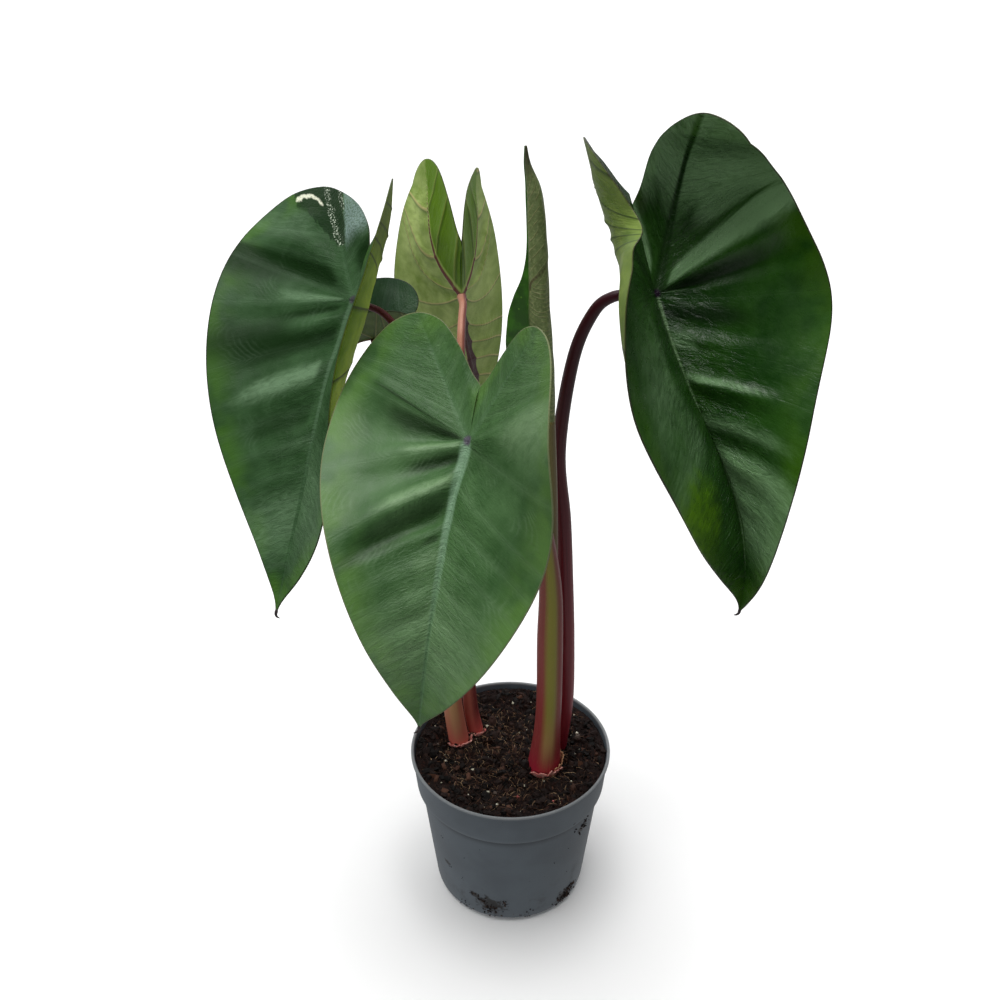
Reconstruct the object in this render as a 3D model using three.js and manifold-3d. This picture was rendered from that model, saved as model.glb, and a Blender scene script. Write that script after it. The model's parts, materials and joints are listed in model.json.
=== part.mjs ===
// A potted elephant ear: five heart shaped blades and one rolled leaf on fleshy stalks,
// standing in dark peat in a round nursery pot. Millimetres, +Z up.
// The origin is the centre of the pot's underside and -Y is the side that faces the viewer.
import * as THREE from 'three';
import { mergeVertices } from 'three/addons/utils/BufferGeometryUtils.js';
import Module from 'manifold-3d';

const wasm = await Module();
wasm.setup();

// Pot
const POT_HEIGHT = 103.3;
const RIM_RADIUS = 60;
const LIP_WIDTH = 1.8;
const BAND_BOTTOM = 79.5;
const BAND_RADIUS = 57;
const SHOULDER_RADIUS = 54.3;
const FOOT_RADIUS = 46.5;
const BASE_RADIUS = 41;
const WALL = 1.5;
const FLOOR = 2;
const POT_SIDES = 48;
const DRAIN_COUNT = 8;
const DRAIN_RADIUS = 4.5;
const DRAIN_AT = 38;

// Peat
const CLEARANCE = 0.3;
const HOLE_SLACK = 0.7;
const PEAT_LEVEL = 95;
const PEAT_LUMP = 1.1;
const STALK_FOOT = 72;

// Blades
const BLADE_THICKNESS = 0.9;
const BLADE_GAP = 0.4;
const RINGS = 7;
const HALF_STEPS = 26;
const MIDRIB_STEP = 0.02;

// Half of the heart outline, from the drip tip round to the notch where the stalk joins.
// Across and along are given in lengths from the stalk to the tip.
const HALF_OUTLINE = [
  [0, 1],
  [0.022, 0.95],
  [0.1, 0.85],
  [0.225, 0.68],
  [0.345, 0.48],
  [0.435, 0.28],
  [0.49, 0.09],
  [0.505, -0.09],
  [0.475, -0.25],
  [0.405, -0.375],
  [0.3, -0.435],
  [0.195, -0.42],
  [0.11, -0.34],
  [0.04, -0.245],
  [0, -0.205],
];

// Each blade hangs from its stalk at the point "at". Heading turns the tip from the viewer
// towards +X, dip tilts it below the horizon and roll turns the blade about its midrib.
// Bend and sway curve the midrib, in degrees at the lobes, the stalk, the middle and the tip.
// Fold lifts each half from the midrib and curl is how much further it turns by its edge.
const BLADES = {
  blade_right: {
    at: [69.9, 2.5, 397],
    heading: 23,
    dip: 55.5,
    roll: -15.5,
    length: 170,
    width: { left: 1.11, right: 0.97 },
    lobe: { left: 1.36, right: 1.28 },
    bend: [42, 0, 4.5, 35],
    sway: [8, 0, 5.5, 6],
    fold: { left: [36.5, 53.5, 60.5, 62.5], right: [44.5, 31, 31.5, 38] },
    curl: { left: [88, 29, 0, 18], right: [10, 12, -37, 0] },
  },
  blade_front: {
    at: [-20, -100, 373.2],
    heading: -22.5,
    dip: 52,
    roll: -1,
    length: 134.2,
    width: { left: 0.97, right: 1.05 },
    lobe: { left: 0.9, right: 0.88 },
    bend: [13, 0, 3, 44],
    sway: [3, 0, 3.5, -8],
    fold: { left: [-3, 6, 23, 16], right: [38, 37, 14.5, 8] },
    curl: { left: [-23, -8, 8, -2], right: [15, 11, -3, -9] },
  },
  blade_left: {
    at: [-80.2, 19, 386.5],
    heading: -29,
    dip: 50.5,
    roll: -8.5,
    length: 162.6,
    width: { left: 0.98, right: 1.08 },
    lobe: { left: 0.87, right: 0.83 },
    bend: [20, 0, 5, 12],
    sway: [2, 0, 4.5, -3],
    fold: { left: [-21, -2.5, 9, 5.5], right: [42.5, 29.5, 22.5, 15.5] },
    curl: { left: [2, 28, 16, -12], right: [14, 34, 51, 18] },
  },
  blade_back: {
    at: [-26.8, 61.1, 369.7],
    heading: 181.5,
    dip: 69.5,
    roll: 5.5,
    length: 116.8,
    width: { left: 0.75, right: 0.91 },
    lobe: { left: 1.29, right: 1.45 },
    bend: [30, 0, -4, 13],
    sway: [3, 0, -8, 3],
    fold: { left: [68, 57, 44, 43], right: [58, 50, 35, 40] },
    curl: { left: [-1, 3, 6, 4], right: [6, 8, -9, 4] },
  },
  blade_rear: {
    at: [-74.5, 55.4, 347.9],
    heading: -95,
    dip: 12,
    roll: 0,
    length: 66,
    width: { left: 1, right: 1 },
    lobe: { left: 0.95, right: 0.95 },
    bend: [5, 0, 8, 14],
    sway: [0, 0, 0, 0],
    fold: { left: [45, 45, 40, 25], right: [45, 45, 40, 25] },
    curl: { left: [5, 5, 5, 5], right: [5, 5, 5, 5] },
  },
};

// Stalks, as x, y, z and radius from the peat upwards. Each one ends square to the blade
// it carries, just under the place where the two lobes meet.
const STALKS = {
  stalk_right: {
    carries: 'blade_right',
    path: [
      [29, 10, 95, 5.6],
      [32.6, 9, 132, 5],
      [32, 8, 178, 4.9],
      [30, 8, 221, 4.9],
      [28, 9, 261, 4.6],
      [25.6, 12, 303, 3.9],
      [32, 14, 355, 3.2],
      [41, 12.5, 382, 3],
      [50, 11, 391.5, 2.8],
      [62, 9.6, 393.2, 2.6],
    ],
  },
  stalk_front: {
    carries: 'blade_front',
    path: [
      [20.2, -8, 95, 9.6],
      [21.6, -7.4, 122, 7.7],
      [22.3, -7, 150, 7.2],
      [22, -6, 189, 7.2],
      [21.6, -6.5, 224, 6.2],
      [18.5, -12, 262, 4.2],
      [11.5, -28, 304, 3.3],
      [0, -56, 343, 2.9],
      [-10, -80, 361, 2.6],
    ],
  },
  stalk_left: {
    carries: 'blade_left',
    path: [
      [-31.6, 14, 95, 6.2],
      [-35, 13, 128, 5.7],
      [-37, 12, 180, 4.8],
      [-39, 11, 240, 4],
      [-43, 12, 300, 3.2],
      [-49, 14.5, 345, 2.5],
      [-54.5, 18.5, 362.5, 2.1],
      [-61.3, 22, 372.5, 1.9],
      [-68, 24.5, 378, 1.8],
    ],
  },
  stalk_back: {
    carries: 'blade_back',
    path: [
      [-21.3, 22.4, 95, 4.7],
      [-24.6, 22.2, 120, 4.4],
      [-27, 22, 180, 3.9],
      [-28, 22, 250, 3.3],
      [-27.5, 25, 308, 2.7],
      [-27, 30, 341, 2.3],
      [-26.8, 38.5, 355.5, 2.2],
      [-26.5, 47.5, 362.5, 2.1],
    ],
  },
  stalk_rear: {
    carries: 'blade_rear',
    path: [
      [-33, 31, 95, 3.4],
      [-36, 32, 150, 3],
      [-43, 33, 220, 2.6],
      [-53, 37, 285, 2.2],
      [-64, 45, 322, 1.9],
    ],
  },
};

// The stalk of the rolled leaf leaves the open sheath of the front stalk.
const ROLLED_STALK = [
  [21.5, -5, 200, 3.4],
  [22, -3.5, 240, 3.3],
  [21, -2.5, 285, 3.2],
  [19, -2, 328.5, 3],
];

// The rolled leaf, as x, y, z, radius of the roll and width of the open flap.
const ROLLED_LEAF = [
  [19, -2, 329, 3, 0.5],
  [18.4, -2, 341, 3.3, 9],
  [17.2, -2, 353, 3.9, 14.5],
  [15.4, -2, 368, 4.7, 14.5],
  [13.8, -2, 382.5, 5.3, 11.5],
  [12.9, -2, 395.6, 5, 8],
  [12.1, -2, 408, 4.9, 3],
  [11.3, -2, 425, 4.4, 0.8],
  [10.4, -2, 440, 3.9, 0.7],
  [9, -2, 452, 3.1, 0.6],
  [6.4, -2, 463, 1.5, 0.4],
  [5.5, -2, 471.5, 0.5, 0.3],
];
const ROLL_SIDES = 18;
const ROLL_START = 192;
const ROLL_SWEEP = 336;
const FLAP_THICKNESS = 0.8;
const FLAP_DIRECTION = 168;

// The dry remnant of a sheath round the foot of the front stalk.
const REMNANT_INNER = 10.1;
const REMNANT_OUTER = 11.3;
const REMNANT_FROM = -100;
const REMNANT_TO = 35;
const REMNANT_STEPS = 18;
const REMNANT_BASE = 1.35;
const REMNANT_LOW = 2.5;
const REMNANT_HIGH = 8;

const radians = (degrees) => (degrees * Math.PI) / 180;

// The value at t of a smooth curve through the numbers, which stand at t = 0, 1, 2 and so on.
function through(values, t) {
  const last = values.length - 1;
  const u = Math.min(Math.max(t, 0), last);
  const i = Math.min(Math.floor(u), last - 1);
  const f = u - i;
  const b = values[i];
  const c = values[i + 1];
  const a = i > 0 ? values[i - 1] : 2 * b - c;
  const d = i + 2 <= last ? values[i + 2] : 2 * c - b;
  return (
    0.5 *
    (2 * b + (c - a) * f + (2 * a - 5 * b + 4 * c - d) * f * f + (3 * b - a - 3 * c + d) * f * f * f)
  );
}

// The same curve through rows of numbers.
function throughRows(rows, t) {
  return rows[0].map((_, k) => through(rows.map((row) => row[k]), t));
}

// A closed geometry from its points and triangles, with every face turned outwards.
function closedGeometry(points, triangles) {
  let volume = 0;
  for (const [a, b, c] of triangles) {
    volume += points[a].dot(points[b].clone().cross(points[c]));
  }
  const index = triangles.flatMap(([a, b, c]) => (volume < 0 ? [a, c, b] : [a, b, c]));
  const geometry = new THREE.BufferGeometry();
  geometry.setAttribute(
    'position',
    new THREE.Float32BufferAttribute(points.flatMap((p) => [p.x, p.y, p.z]), 3),
  );
  geometry.setIndex(index);
  geometry.computeVertexNormals();
  return geometry;
}

// A skin over closed sections of equal length, with a fan at each end.
function loft(sections) {
  const n = sections[0].length;
  const points = sections.flat();
  const triangles = [];
  for (let i = 0; i + 1 < sections.length; i++) {
    for (let j = 0; j < n; j++) {
      const a = i * n + j;
      const b = i * n + ((j + 1) % n);
      triangles.push([a, b, b + n], [a, b + n, a + n]);
    }
  }
  const middle = (section) => {
    const sum = new THREE.Vector3();
    section.forEach((p) => sum.add(p));
    return sum.divideScalar(section.length);
  };
  const first = points.push(middle(sections[0])) - 1;
  const final = points.push(middle(sections[sections.length - 1])) - 1;
  const top = (sections.length - 1) * n;
  for (let j = 0; j < n; j++) {
    triangles.push([first, (j + 1) % n, j], [final, top + j, top + ((j + 1) % n)]);
  }
  return closedGeometry(points, triangles);
}

// The solid of a closed geometry, and back.
function toSolid(geometry) {
  const bare = geometry.clone();
  bare.deleteAttribute('normal');
  bare.deleteAttribute('uv');
  const merged = mergeVertices(bare, 1e-4);
  return new wasm.Manifold(
    new wasm.Mesh({
      numProp: 3,
      vertProperties: merged.attributes.position.array,
      triVerts: new Uint32Array(merged.index.array),
    }),
  );
}

function toGeometry(solid) {
  const mesh = solid.getMesh();
  const geometry = new THREE.BufferGeometry();
  geometry.setAttribute('position', new THREE.Float32BufferAttribute(mesh.vertProperties, 3));
  geometry.setIndex(new THREE.Uint32BufferAttribute(mesh.triVerts, 1));
  geometry.computeVertexNormals();
  return geometry;
}

// The curved middle surface of one blade, as a function of across and along,
// both in lengths from the stalk to the tip.
function bladeSurface(blade) {
  const heading = radians(blade.heading);
  const dip = radians(blade.dip);
  const roll = radians(blade.roll);
  const at = new THREE.Vector3(...blade.at);
  const along = new THREE.Vector3(
    Math.sin(heading) * Math.cos(dip),
    -Math.cos(heading) * Math.cos(dip),
    -Math.sin(dip),
  );
  const face = new THREE.Vector3(
    Math.sin(heading) * Math.sin(dip),
    -Math.cos(heading) * Math.sin(dip),
    Math.cos(dip),
  );
  const side = face.clone().cross(along);
  const up = face.clone().multiplyScalar(Math.cos(roll)).addScaledVector(side, Math.sin(roll));
  const right = side.clone().multiplyScalar(Math.cos(roll)).addScaledVector(face, -Math.sin(roll));
  const station = (values, y) => radians(through(values, (y + 0.5) / 0.5));
  const direction = (y) => {
    const bend = station(blade.bend, y);
    const sway = station(blade.sway, y);
    return along
      .clone()
      .multiplyScalar(Math.cos(bend) * Math.cos(sway))
      .addScaledVector(up, -Math.sin(bend) * Math.cos(sway))
      .addScaledVector(right, Math.sin(sway));
  };
  // The midrib, walked from the stalk in both directions.
  const midrib = (y) => {
    const n = Math.max(1, Math.ceil(Math.abs(y) / MIDRIB_STEP));
    const d = y / n;
    const p = new THREE.Vector3();
    for (let i = 0; i < n; i++) {
      p.addScaledVector(direction((i + 0.5) * d), d);
    }
    return p;
  };
  const surface = (x, y, hand) => {
    const half = hand > 0 ? 'right' : 'left';
    const tangent = direction(y);
    const bend = station(blade.bend, y);
    const normal = up.clone().multiplyScalar(Math.cos(bend)).addScaledVector(along, Math.sin(bend));
    const out = tangent.clone().cross(normal).negate();
    const fold = station(blade.fold[half], y);
    let curl = 2 * station(blade.curl[half], y);
    curl = Math.abs(curl) < 1e-4 ? 1e-4 : curl;
    const a = Math.abs(x);
    const across = (Math.sin(fold + curl * a) - Math.sin(fold)) / curl;
    const lift = (Math.cos(fold) - Math.cos(fold + curl * a)) / curl;
    return midrib(y)
      .addScaledVector(out, hand * across)
      .addScaledVector(normal, lift)
      .multiplyScalar(blade.length)
      .add(at);
  };
  return { surface, up, at };
}

// The outline of one blade, from the tip round the right lobe to the notch and back
// up the left side, as across, along and hand.
function bladeOutline(blade) {
  const halves = [];
  for (const [hand, half] of [
    [1, 'right'],
    [-1, 'left'],
  ]) {
    const row = [];
    for (let i = 0; i <= HALF_STEPS; i++) {
      const [x, y] = throughRows(HALF_OUTLINE, (i / HALF_STEPS) * (HALF_OUTLINE.length - 1));
      row.push([x * blade.width[half] * hand, y < 0 ? y * blade.lobe[half] : y, hand]);
    }
    halves.push(row);
  }
  const [rightHalf, leftHalf] = halves;
  return [...rightHalf, ...leftHalf.slice(1, -1).reverse()];
}

function bladeGeometry(blade) {
  const { surface } = bladeSurface(blade);
  const outline = bladeOutline(blade);
  const n = outline.length;
  const middle = [surface(0, 0, 1)];
  for (let r = 1; r <= RINGS; r++) {
    for (const [x, y, hand] of outline) {
      middle.push(surface((x * r) / RINGS, (y * r) / RINGS, hand));
    }
  }
  const at = (r, j) => (r === 0 ? 0 : 1 + (r - 1) * n + (j % n));
  const faces = [];
  for (let j = 0; j < n; j++) {
    faces.push([0, at(1, j), at(1, j + 1)]);
    for (let r = 1; r < RINGS; r++) {
      faces.push([at(r, j), at(r + 1, j), at(r + 1, j + 1)], [at(r, j), at(r + 1, j + 1), at(r, j + 1)]);
    }
  }
  const normals = middle.map(() => new THREE.Vector3());
  for (const [a, b, c] of faces) {
    const normal = middle[b].clone().sub(middle[a]).cross(middle[c].clone().sub(middle[a]));
    [a, b, c].forEach((k) => normals[k].add(normal));
  }
  normals.forEach((normal) => normal.normalize());
  const half = BLADE_THICKNESS / 2;
  const points = [
    ...middle.map((p, k) => p.clone().addScaledVector(normals[k], half)),
    ...middle.map((p, k) => p.clone().addScaledVector(normals[k], -half)),
  ];
  const m = middle.length;
  const triangles = [...faces, ...faces.map(([a, b, c]) => [a + m, c + m, b + m])];
  for (let j = 0; j < n; j++) {
    const a = at(RINGS, j);
    const b = at(RINGS, j + 1);
    triangles.push([a, a + m, b + m], [a, b + m, b]);
  }
  return closedGeometry(points, triangles);
}

// A tapering tube through rows of x, y, z and radius.
function tube(rows, steps, sides) {
  const count = (rows.length - 1) * steps;
  const centres = [];
  const radii = [];
  for (let i = 0; i <= count; i++) {
    const [x, y, z, r] = throughRows(rows, i / steps);
    centres.push(new THREE.Vector3(x, y, z));
    radii.push(r);
  }
  let reference = new THREE.Vector3(1, 0, 0);
  const sections = centres.map((centre, i) => {
    const before = centres[Math.max(i - 1, 0)];
    const after = centres[Math.min(i + 1, count)];
    const tangent = after.clone().sub(before).normalize();
    reference = reference.addScaledVector(tangent, -reference.dot(tangent)).normalize();
    const other = tangent.clone().cross(reference);
    const section = [];
    for (let j = 0; j < sides; j++) {
      const angle = (2 * Math.PI * j) / sides;
      section.push(
        centre
          .clone()
          .addScaledVector(reference, radii[i] * Math.cos(angle))
          .addScaledVector(other, radii[i] * Math.sin(angle)),
      );
    }
    return section;
  });
  return loft(sections);
}

// The path of a stalk, with its straight foot in the peat and its square end at the blade.
function stalkRows(stalk) {
  const blade = BLADES[stalk.carries];
  const { up, at } = bladeSurface(blade);
  const tip = stalk.path[stalk.path.length - 1][3];
  const foot = stalk.path[0];
  const below = (distance) => at.clone().addScaledVector(up, -distance).toArray();
  return [
    [foot[0], foot[1], STALK_FOOT, foot[3]],
    [foot[0], foot[1], (STALK_FOOT + foot[2]) / 2, foot[3]],
    ...stalk.path,
    [...below(7), tip * 0.98],
    [...below(3), tip * 0.96],
    [...below(BLADE_THICKNESS / 2 + BLADE_GAP), tip * 0.94],
  ];
}

function potProfile() {
  const inner = RIM_RADIUS - LIP_WIDTH;
  return [
    [0, 0],
    [BASE_RADIUS, 0],
    [BASE_RADIUS + 2.5, 1],
    [FOOT_RADIUS - 0.8, 4],
    [FOOT_RADIUS, 8],
    [SHOULDER_RADIUS, BAND_BOTTOM - 2],
    [SHOULDER_RADIUS + 0.4, BAND_BOTTOM],
    [BAND_RADIUS, BAND_BOTTOM + 0.6],
    [RIM_RADIUS - 1, POT_HEIGHT - 2.6],
    [RIM_RADIUS, POT_HEIGHT - 2.2],
    [RIM_RADIUS, POT_HEIGHT - 0.5],
    [RIM_RADIUS - 0.5, POT_HEIGHT],
    [inner + 0.4, POT_HEIGHT],
    [inner, POT_HEIGHT - 0.5],
    [BAND_RADIUS - WALL, BAND_BOTTOM + 1],
    [SHOULDER_RADIUS - WALL, BAND_BOTTOM - 2],
    [FOOT_RADIUS - WALL, 8],
    [FOOT_RADIUS - WALL - 2, FLOOR],
    [0, FLOOR],
  ];
}

function pot() {
  const profile = potProfile().map(([r, z]) => new THREE.Vector2(r, z));
  const body = new THREE.LatheGeometry(profile, POT_SIDES);
  body.rotateX(Math.PI / 2);
  let solid = toSolid(body);
  if (solid.volume() < 0) {
    throw new Error('the pot is inside out');
  }
  // Drain holes round the edge of the floor, one of them towards the viewer.
  for (let i = 0; i < DRAIN_COUNT; i++) {
    const hole = new THREE.CylinderGeometry(DRAIN_RADIUS, DRAIN_RADIUS, 8, 16);
    hole.rotateX(Math.PI / 2);
    const angle = radians(-101 + (i * 360) / DRAIN_COUNT);
    hole.translate(DRAIN_AT * Math.cos(angle), DRAIN_AT * Math.sin(angle), 0);
    solid = solid.subtract(toSolid(hole));
  }
  return toGeometry(solid);
}

// The height of the lumpy peat.
function peatHeight(x, y) {
  const broad = Math.sin(x / 9 + 1) * Math.cos(y / 8);
  const fine = Math.sin(x / 4.3 + y / 5.1) * 0.6;
  const edge = Math.min(1, (RIM_RADIUS - Math.hypot(x, y)) / 14);
  return PEAT_LEVEL + PEAT_LUMP * (broad + fine) * edge;
}

function peat() {
  const rise = (BAND_RADIUS - SHOULDER_RADIUS) / 3;
  const wall = (z) => {
    if (z <= 8) {
      return FOOT_RADIUS - WALL - CLEARANCE - 2 + (2 * (z - FLOOR)) / 6;
    }
    if (z <= BAND_BOTTOM - 2) {
      const t = (z - 8) / (BAND_BOTTOM - 10);
      return FOOT_RADIUS - WALL - CLEARANCE + (SHOULDER_RADIUS - FOOT_RADIUS) * t;
    }
    if (z <= BAND_BOTTOM + 1) {
      return SHOULDER_RADIUS - WALL - CLEARANCE + rise * (z - BAND_BOTTOM + 2);
    }
    const t = (z - BAND_BOTTOM - 1) / (POT_HEIGHT - BAND_BOTTOM - 1.5);
    return BAND_RADIUS - WALL - CLEARANCE + (RIM_RADIUS - LIP_WIDTH - BAND_RADIUS + WALL) * t;
  };
  // A lathe facet lies a little inside its circle, so the peat's radius is drawn in by as much.
  const facet = Math.cos(Math.PI / POT_SIDES);
  const ring = (radius, z) =>
    Array.from({ length: POT_SIDES }, (_, j) => {
      const angle = (2 * Math.PI * j) / POT_SIDES;
      const r = radius * facet;
      const x = r * Math.cos(angle);
      const y = r * Math.sin(angle);
      return new THREE.Vector3(x, y, z === null ? peatHeight(x, y) : z);
    });
  const sections = [
    ring(wall(FLOOR + CLEARANCE) * 0.5, FLOOR + CLEARANCE),
    ring(wall(FLOOR + CLEARANCE), FLOOR + CLEARANCE),
    ring(wall(8), 8),
    ring(wall(BAND_BOTTOM - 2), BAND_BOTTOM - 2),
    ring(wall(BAND_BOTTOM + 1), BAND_BOTTOM + 1),
    ring(wall(PEAT_LEVEL - 3), PEAT_LEVEL - 3),
  ];
  const top = wall(PEAT_LEVEL - 3);
  for (const share of [0.97, 0.86, 0.72, 0.58, 0.44, 0.3, 0.15]) {
    sections.push(ring(top * share, null));
  }
  let solid = toSolid(loft(sections));
  // A plain hole for the foot of each stalk.
  for (const stalk of Object.values(STALKS)) {
    const [x, y, , r] = stalk.path[0];
    const hole = new THREE.CylinderGeometry(r + HOLE_SLACK, r + HOLE_SLACK, 60, 20);
    hole.rotateX(Math.PI / 2);
    hole.translate(x, y, STALK_FOOT - CLEARANCE + 30);
    solid = solid.subtract(toSolid(hole));
  }
  return toGeometry(solid);
}

// One section of the rolled leaf: a round roll whose outer edge stands off as a flap.
function rolledSection([x, y, z, radius, flap]) {
  const section = [];
  for (let j = 0; j <= ROLL_SIDES; j++) {
    const angle = radians(ROLL_START + (ROLL_SWEEP * j) / ROLL_SIDES);
    section.push(new THREE.Vector3(x + radius * Math.cos(angle), y + radius * Math.sin(angle), z));
  }
  const seam = section[ROLL_SIDES];
  const direction = radians(FLAP_DIRECTION);
  const out = new THREE.Vector3(Math.cos(direction), Math.sin(direction), 0);
  const thickness = section[0]
    .clone()
    .sub(seam)
    .normalize()
    .multiplyScalar(Math.min(FLAP_THICKNESS, radius * 0.4));
  const shares = [0.35, 0.7, 1];
  const outer = shares.map((share) => seam.clone().addScaledVector(out, flap * share));
  const inner = outer.map((p) => p.clone().add(thickness)).reverse();
  return [...section, ...outer, ...inner];
}

function rolledLeaf() {
  const steps = 2;
  const count = (ROLLED_LEAF.length - 1) * steps;
  const sections = [];
  for (let i = 0; i <= count; i++) {
    const row = throughRows(ROLLED_LEAF, i / steps);
    row[4] = Math.max(row[4], 0.3);
    sections.push(rolledSection(row));
  }
  return loft(sections);
}

function remnant() {
  const [x, y] = STALKS.stalk_front.path[0];
  const sections = [];
  for (let i = 0; i <= REMNANT_STEPS; i++) {
    const t = i / REMNANT_STEPS;
    const angle = radians(REMNANT_FROM + (REMNANT_TO - REMNANT_FROM) * t);
    const swell = Math.sin(Math.PI * Math.min(1, t * 0.62 + 0.1));
    const height = REMNANT_LOW + (REMNANT_HIGH - REMNANT_LOW) * swell;
    const crinkle = 0.35 * Math.sin(i * 1.9);
    const at = (r, z) =>
      new THREE.Vector3(x + r * Math.cos(angle), y + r * Math.sin(angle), z);
    const low = PEAT_LEVEL + REMNANT_BASE;
    sections.push([
      at(REMNANT_INNER, low),
      at(REMNANT_OUTER, low),
      at(REMNANT_OUTER + 0.6 + crinkle, low + height),
      at(REMNANT_INNER + 0.6 + crinkle, low + height),
    ]);
  }
  return loft(sections);
}

const LOOKS = {
  pot: { color: 0x4a5157, roughness: 0.55, metalness: 0 },
  peat: { color: 0x2a1d15, roughness: 0.95, metalness: 0 },
  blade_right: { color: 0x14361a, roughness: 0.3, metalness: 0 },
  blade_front: { color: 0x3c6b3c, roughness: 0.5, metalness: 0 },
  blade_left: { color: 0x1f4a27, roughness: 0.35, metalness: 0 },
  blade_back: { color: 0x6f8440, roughness: 0.5, metalness: 0 },
  blade_rear: { color: 0x2f5340, roughness: 0.4, metalness: 0 },
  rolled_leaf: { color: 0x55603a, roughness: 0.5, metalness: 0 },
  stalk_right: { color: 0x4a1a20, roughness: 0.4, metalness: 0 },
  stalk_front: { color: 0x8a3a34, roughness: 0.45, metalness: 0 },
  stalk_left: { color: 0xa85a48, roughness: 0.45, metalness: 0 },
  stalk_back: { color: 0xa04c40, roughness: 0.45, metalness: 0 },
  stalk_rear: { color: 0x7a3a34, roughness: 0.45, metalness: 0 },
  sheath_remnant: { color: 0xb08a6a, roughness: 0.8, metalness: 0 },
};

const plant = new THREE.Group();

function add(name, geometry) {
  const mesh = new THREE.Mesh(geometry, new THREE.MeshStandardMaterial(LOOKS[name]));
  mesh.name = name;
  plant.add(mesh);
}

add('pot', pot());
add('peat', peat());
for (const [name, blade] of Object.entries(BLADES)) {
  add(name, bladeGeometry(blade));
}
for (const [name, stalk] of Object.entries(STALKS)) {
  const geometry = tube(stalkRows(stalk), 2, 12);
  if (name === 'stalk_front') {
    add(name, toGeometry(toSolid(geometry).add(toSolid(tube(ROLLED_STALK, 4, 10)))));
  } else {
    add(name, geometry);
  }
}
add('rolled_leaf', rolledLeaf());
add('sheath_remnant', remnant());

export default plant;
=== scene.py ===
import json
import math

import bpy
import numpy as np
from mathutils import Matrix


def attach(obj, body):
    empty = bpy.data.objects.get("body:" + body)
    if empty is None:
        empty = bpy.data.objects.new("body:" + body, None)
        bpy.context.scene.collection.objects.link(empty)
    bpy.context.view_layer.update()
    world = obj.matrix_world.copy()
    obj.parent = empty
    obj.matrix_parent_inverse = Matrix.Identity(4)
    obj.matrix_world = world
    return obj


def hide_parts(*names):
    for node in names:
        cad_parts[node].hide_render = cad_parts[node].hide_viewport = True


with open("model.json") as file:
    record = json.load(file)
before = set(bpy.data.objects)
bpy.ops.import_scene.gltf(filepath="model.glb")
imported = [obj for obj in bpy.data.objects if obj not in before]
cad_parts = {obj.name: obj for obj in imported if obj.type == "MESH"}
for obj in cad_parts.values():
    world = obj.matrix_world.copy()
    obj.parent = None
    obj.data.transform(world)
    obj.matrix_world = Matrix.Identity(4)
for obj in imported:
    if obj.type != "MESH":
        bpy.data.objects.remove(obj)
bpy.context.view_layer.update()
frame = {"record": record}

# A potted elephant ear. Sizes are in millimetres here and become metres where meshes are made.
# Colours are those of a picture, 0 to 255 a channel, and become linear where sockets are filled.
MM = 0.001
SEED = 11
SLOTS = {part["node"]: part["material_slot"] for part in frame["record"]["subparts"]}

# Pot and peat
POT_HEIGHT = 103.3
RIM_RADIUS = 60
LIP_WIDTH = 1.8
BAND_BOTTOM = 79.5
BAND_RADIUS = 57
SHOULDER_RADIUS = 54.3
FOOT_RADIUS = 46.5
BASE_RADIUS = 41
WALL = 1.5
FLOOR = 2
POT_TURNS = 240
DRAIN_COUNT = 8
DRAIN_RADIUS = 4.5
DRAIN_AT = 38
DRAIN_FIRST = -101
DRAIN_TURNS = 32
DRILL_SPAN = (-3, 4)
CORNER_RADIUS = 0.5
SHARP_EDGE = 50
PEAT_LEVEL = 95
PEAT_LUMP = 1.1
PEAT_HEAP = 4.2
PEAT_TURNS = 260
PEAT_RINGS = 92
STALK_FOOT = 72

# Space between the peat and the pot: at the lip, at the wall and at the floor.
LIP_GAP = 0.9
WALL_GAP = 0.35
FLOOR_GAP = 0.3

# Leaves
LEAF_THICKNESS = 0.6
LEAF_RINGS = 110
LEAF_ROUND = 300
COSTA_ANGLE = 146
BLADE_SEED = 3
BLADE_SEED_STEP = 5

# Half of the heart outline, from the drip tip round to the notch where the stalk joins.
# Across and along are given in lengths from the stalk to the tip.
HALF_OUTLINE = [
    (0, 1), (0.022, 0.95), (0.1, 0.85), (0.225, 0.68), (0.345, 0.48), (0.435, 0.28), (0.49, 0.09),
    (0.505, -0.09), (0.475, -0.25), (0.405, -0.375), (0.3, -0.435), (0.195, -0.42), (0.11, -0.34),
    (0.04, -0.245), (0, -0.205),
]
ROUND_LOBE = HALF_OUTLINE[:8] + [
    (0.485, -0.25), (0.43, -0.355), (0.31, -0.397), (0.2, -0.384), (0.1, -0.342), (0.03, -0.275), (0, -0.205),
]
FULL_LOBE = [
    (0, 1), (0.036, 0.95), (0.108, 0.85), (0.212, 0.68), (0.338, 0.48), (0.456, 0.28), (0.499, 0.09),
    (0.489, -0.09), (0.464, -0.25), (0.442, -0.394), (0.324, -0.446), (0.2, -0.408), (0.11, -0.335),
    (0.04, -0.245), (0, -0.205),
]
WIDE_SIDE = HALF_OUTLINE[:5] + [(0.45, 0.28), (0.512, 0.09)] + HALF_OUTLINE[7:]
BROAD_LOBE = HALF_OUTLINE[:9] + [
    (0.415, -0.375), (0.345, -0.455), (0.235, -0.44), (0.13, -0.4), (0.065, -0.34), (0.025, -0.265),
    (0, -0.205),
]

# The creases of a half that has none.
PLAIN = ((-5, 0, 0.2), (9, 0, 0.2))

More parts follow.
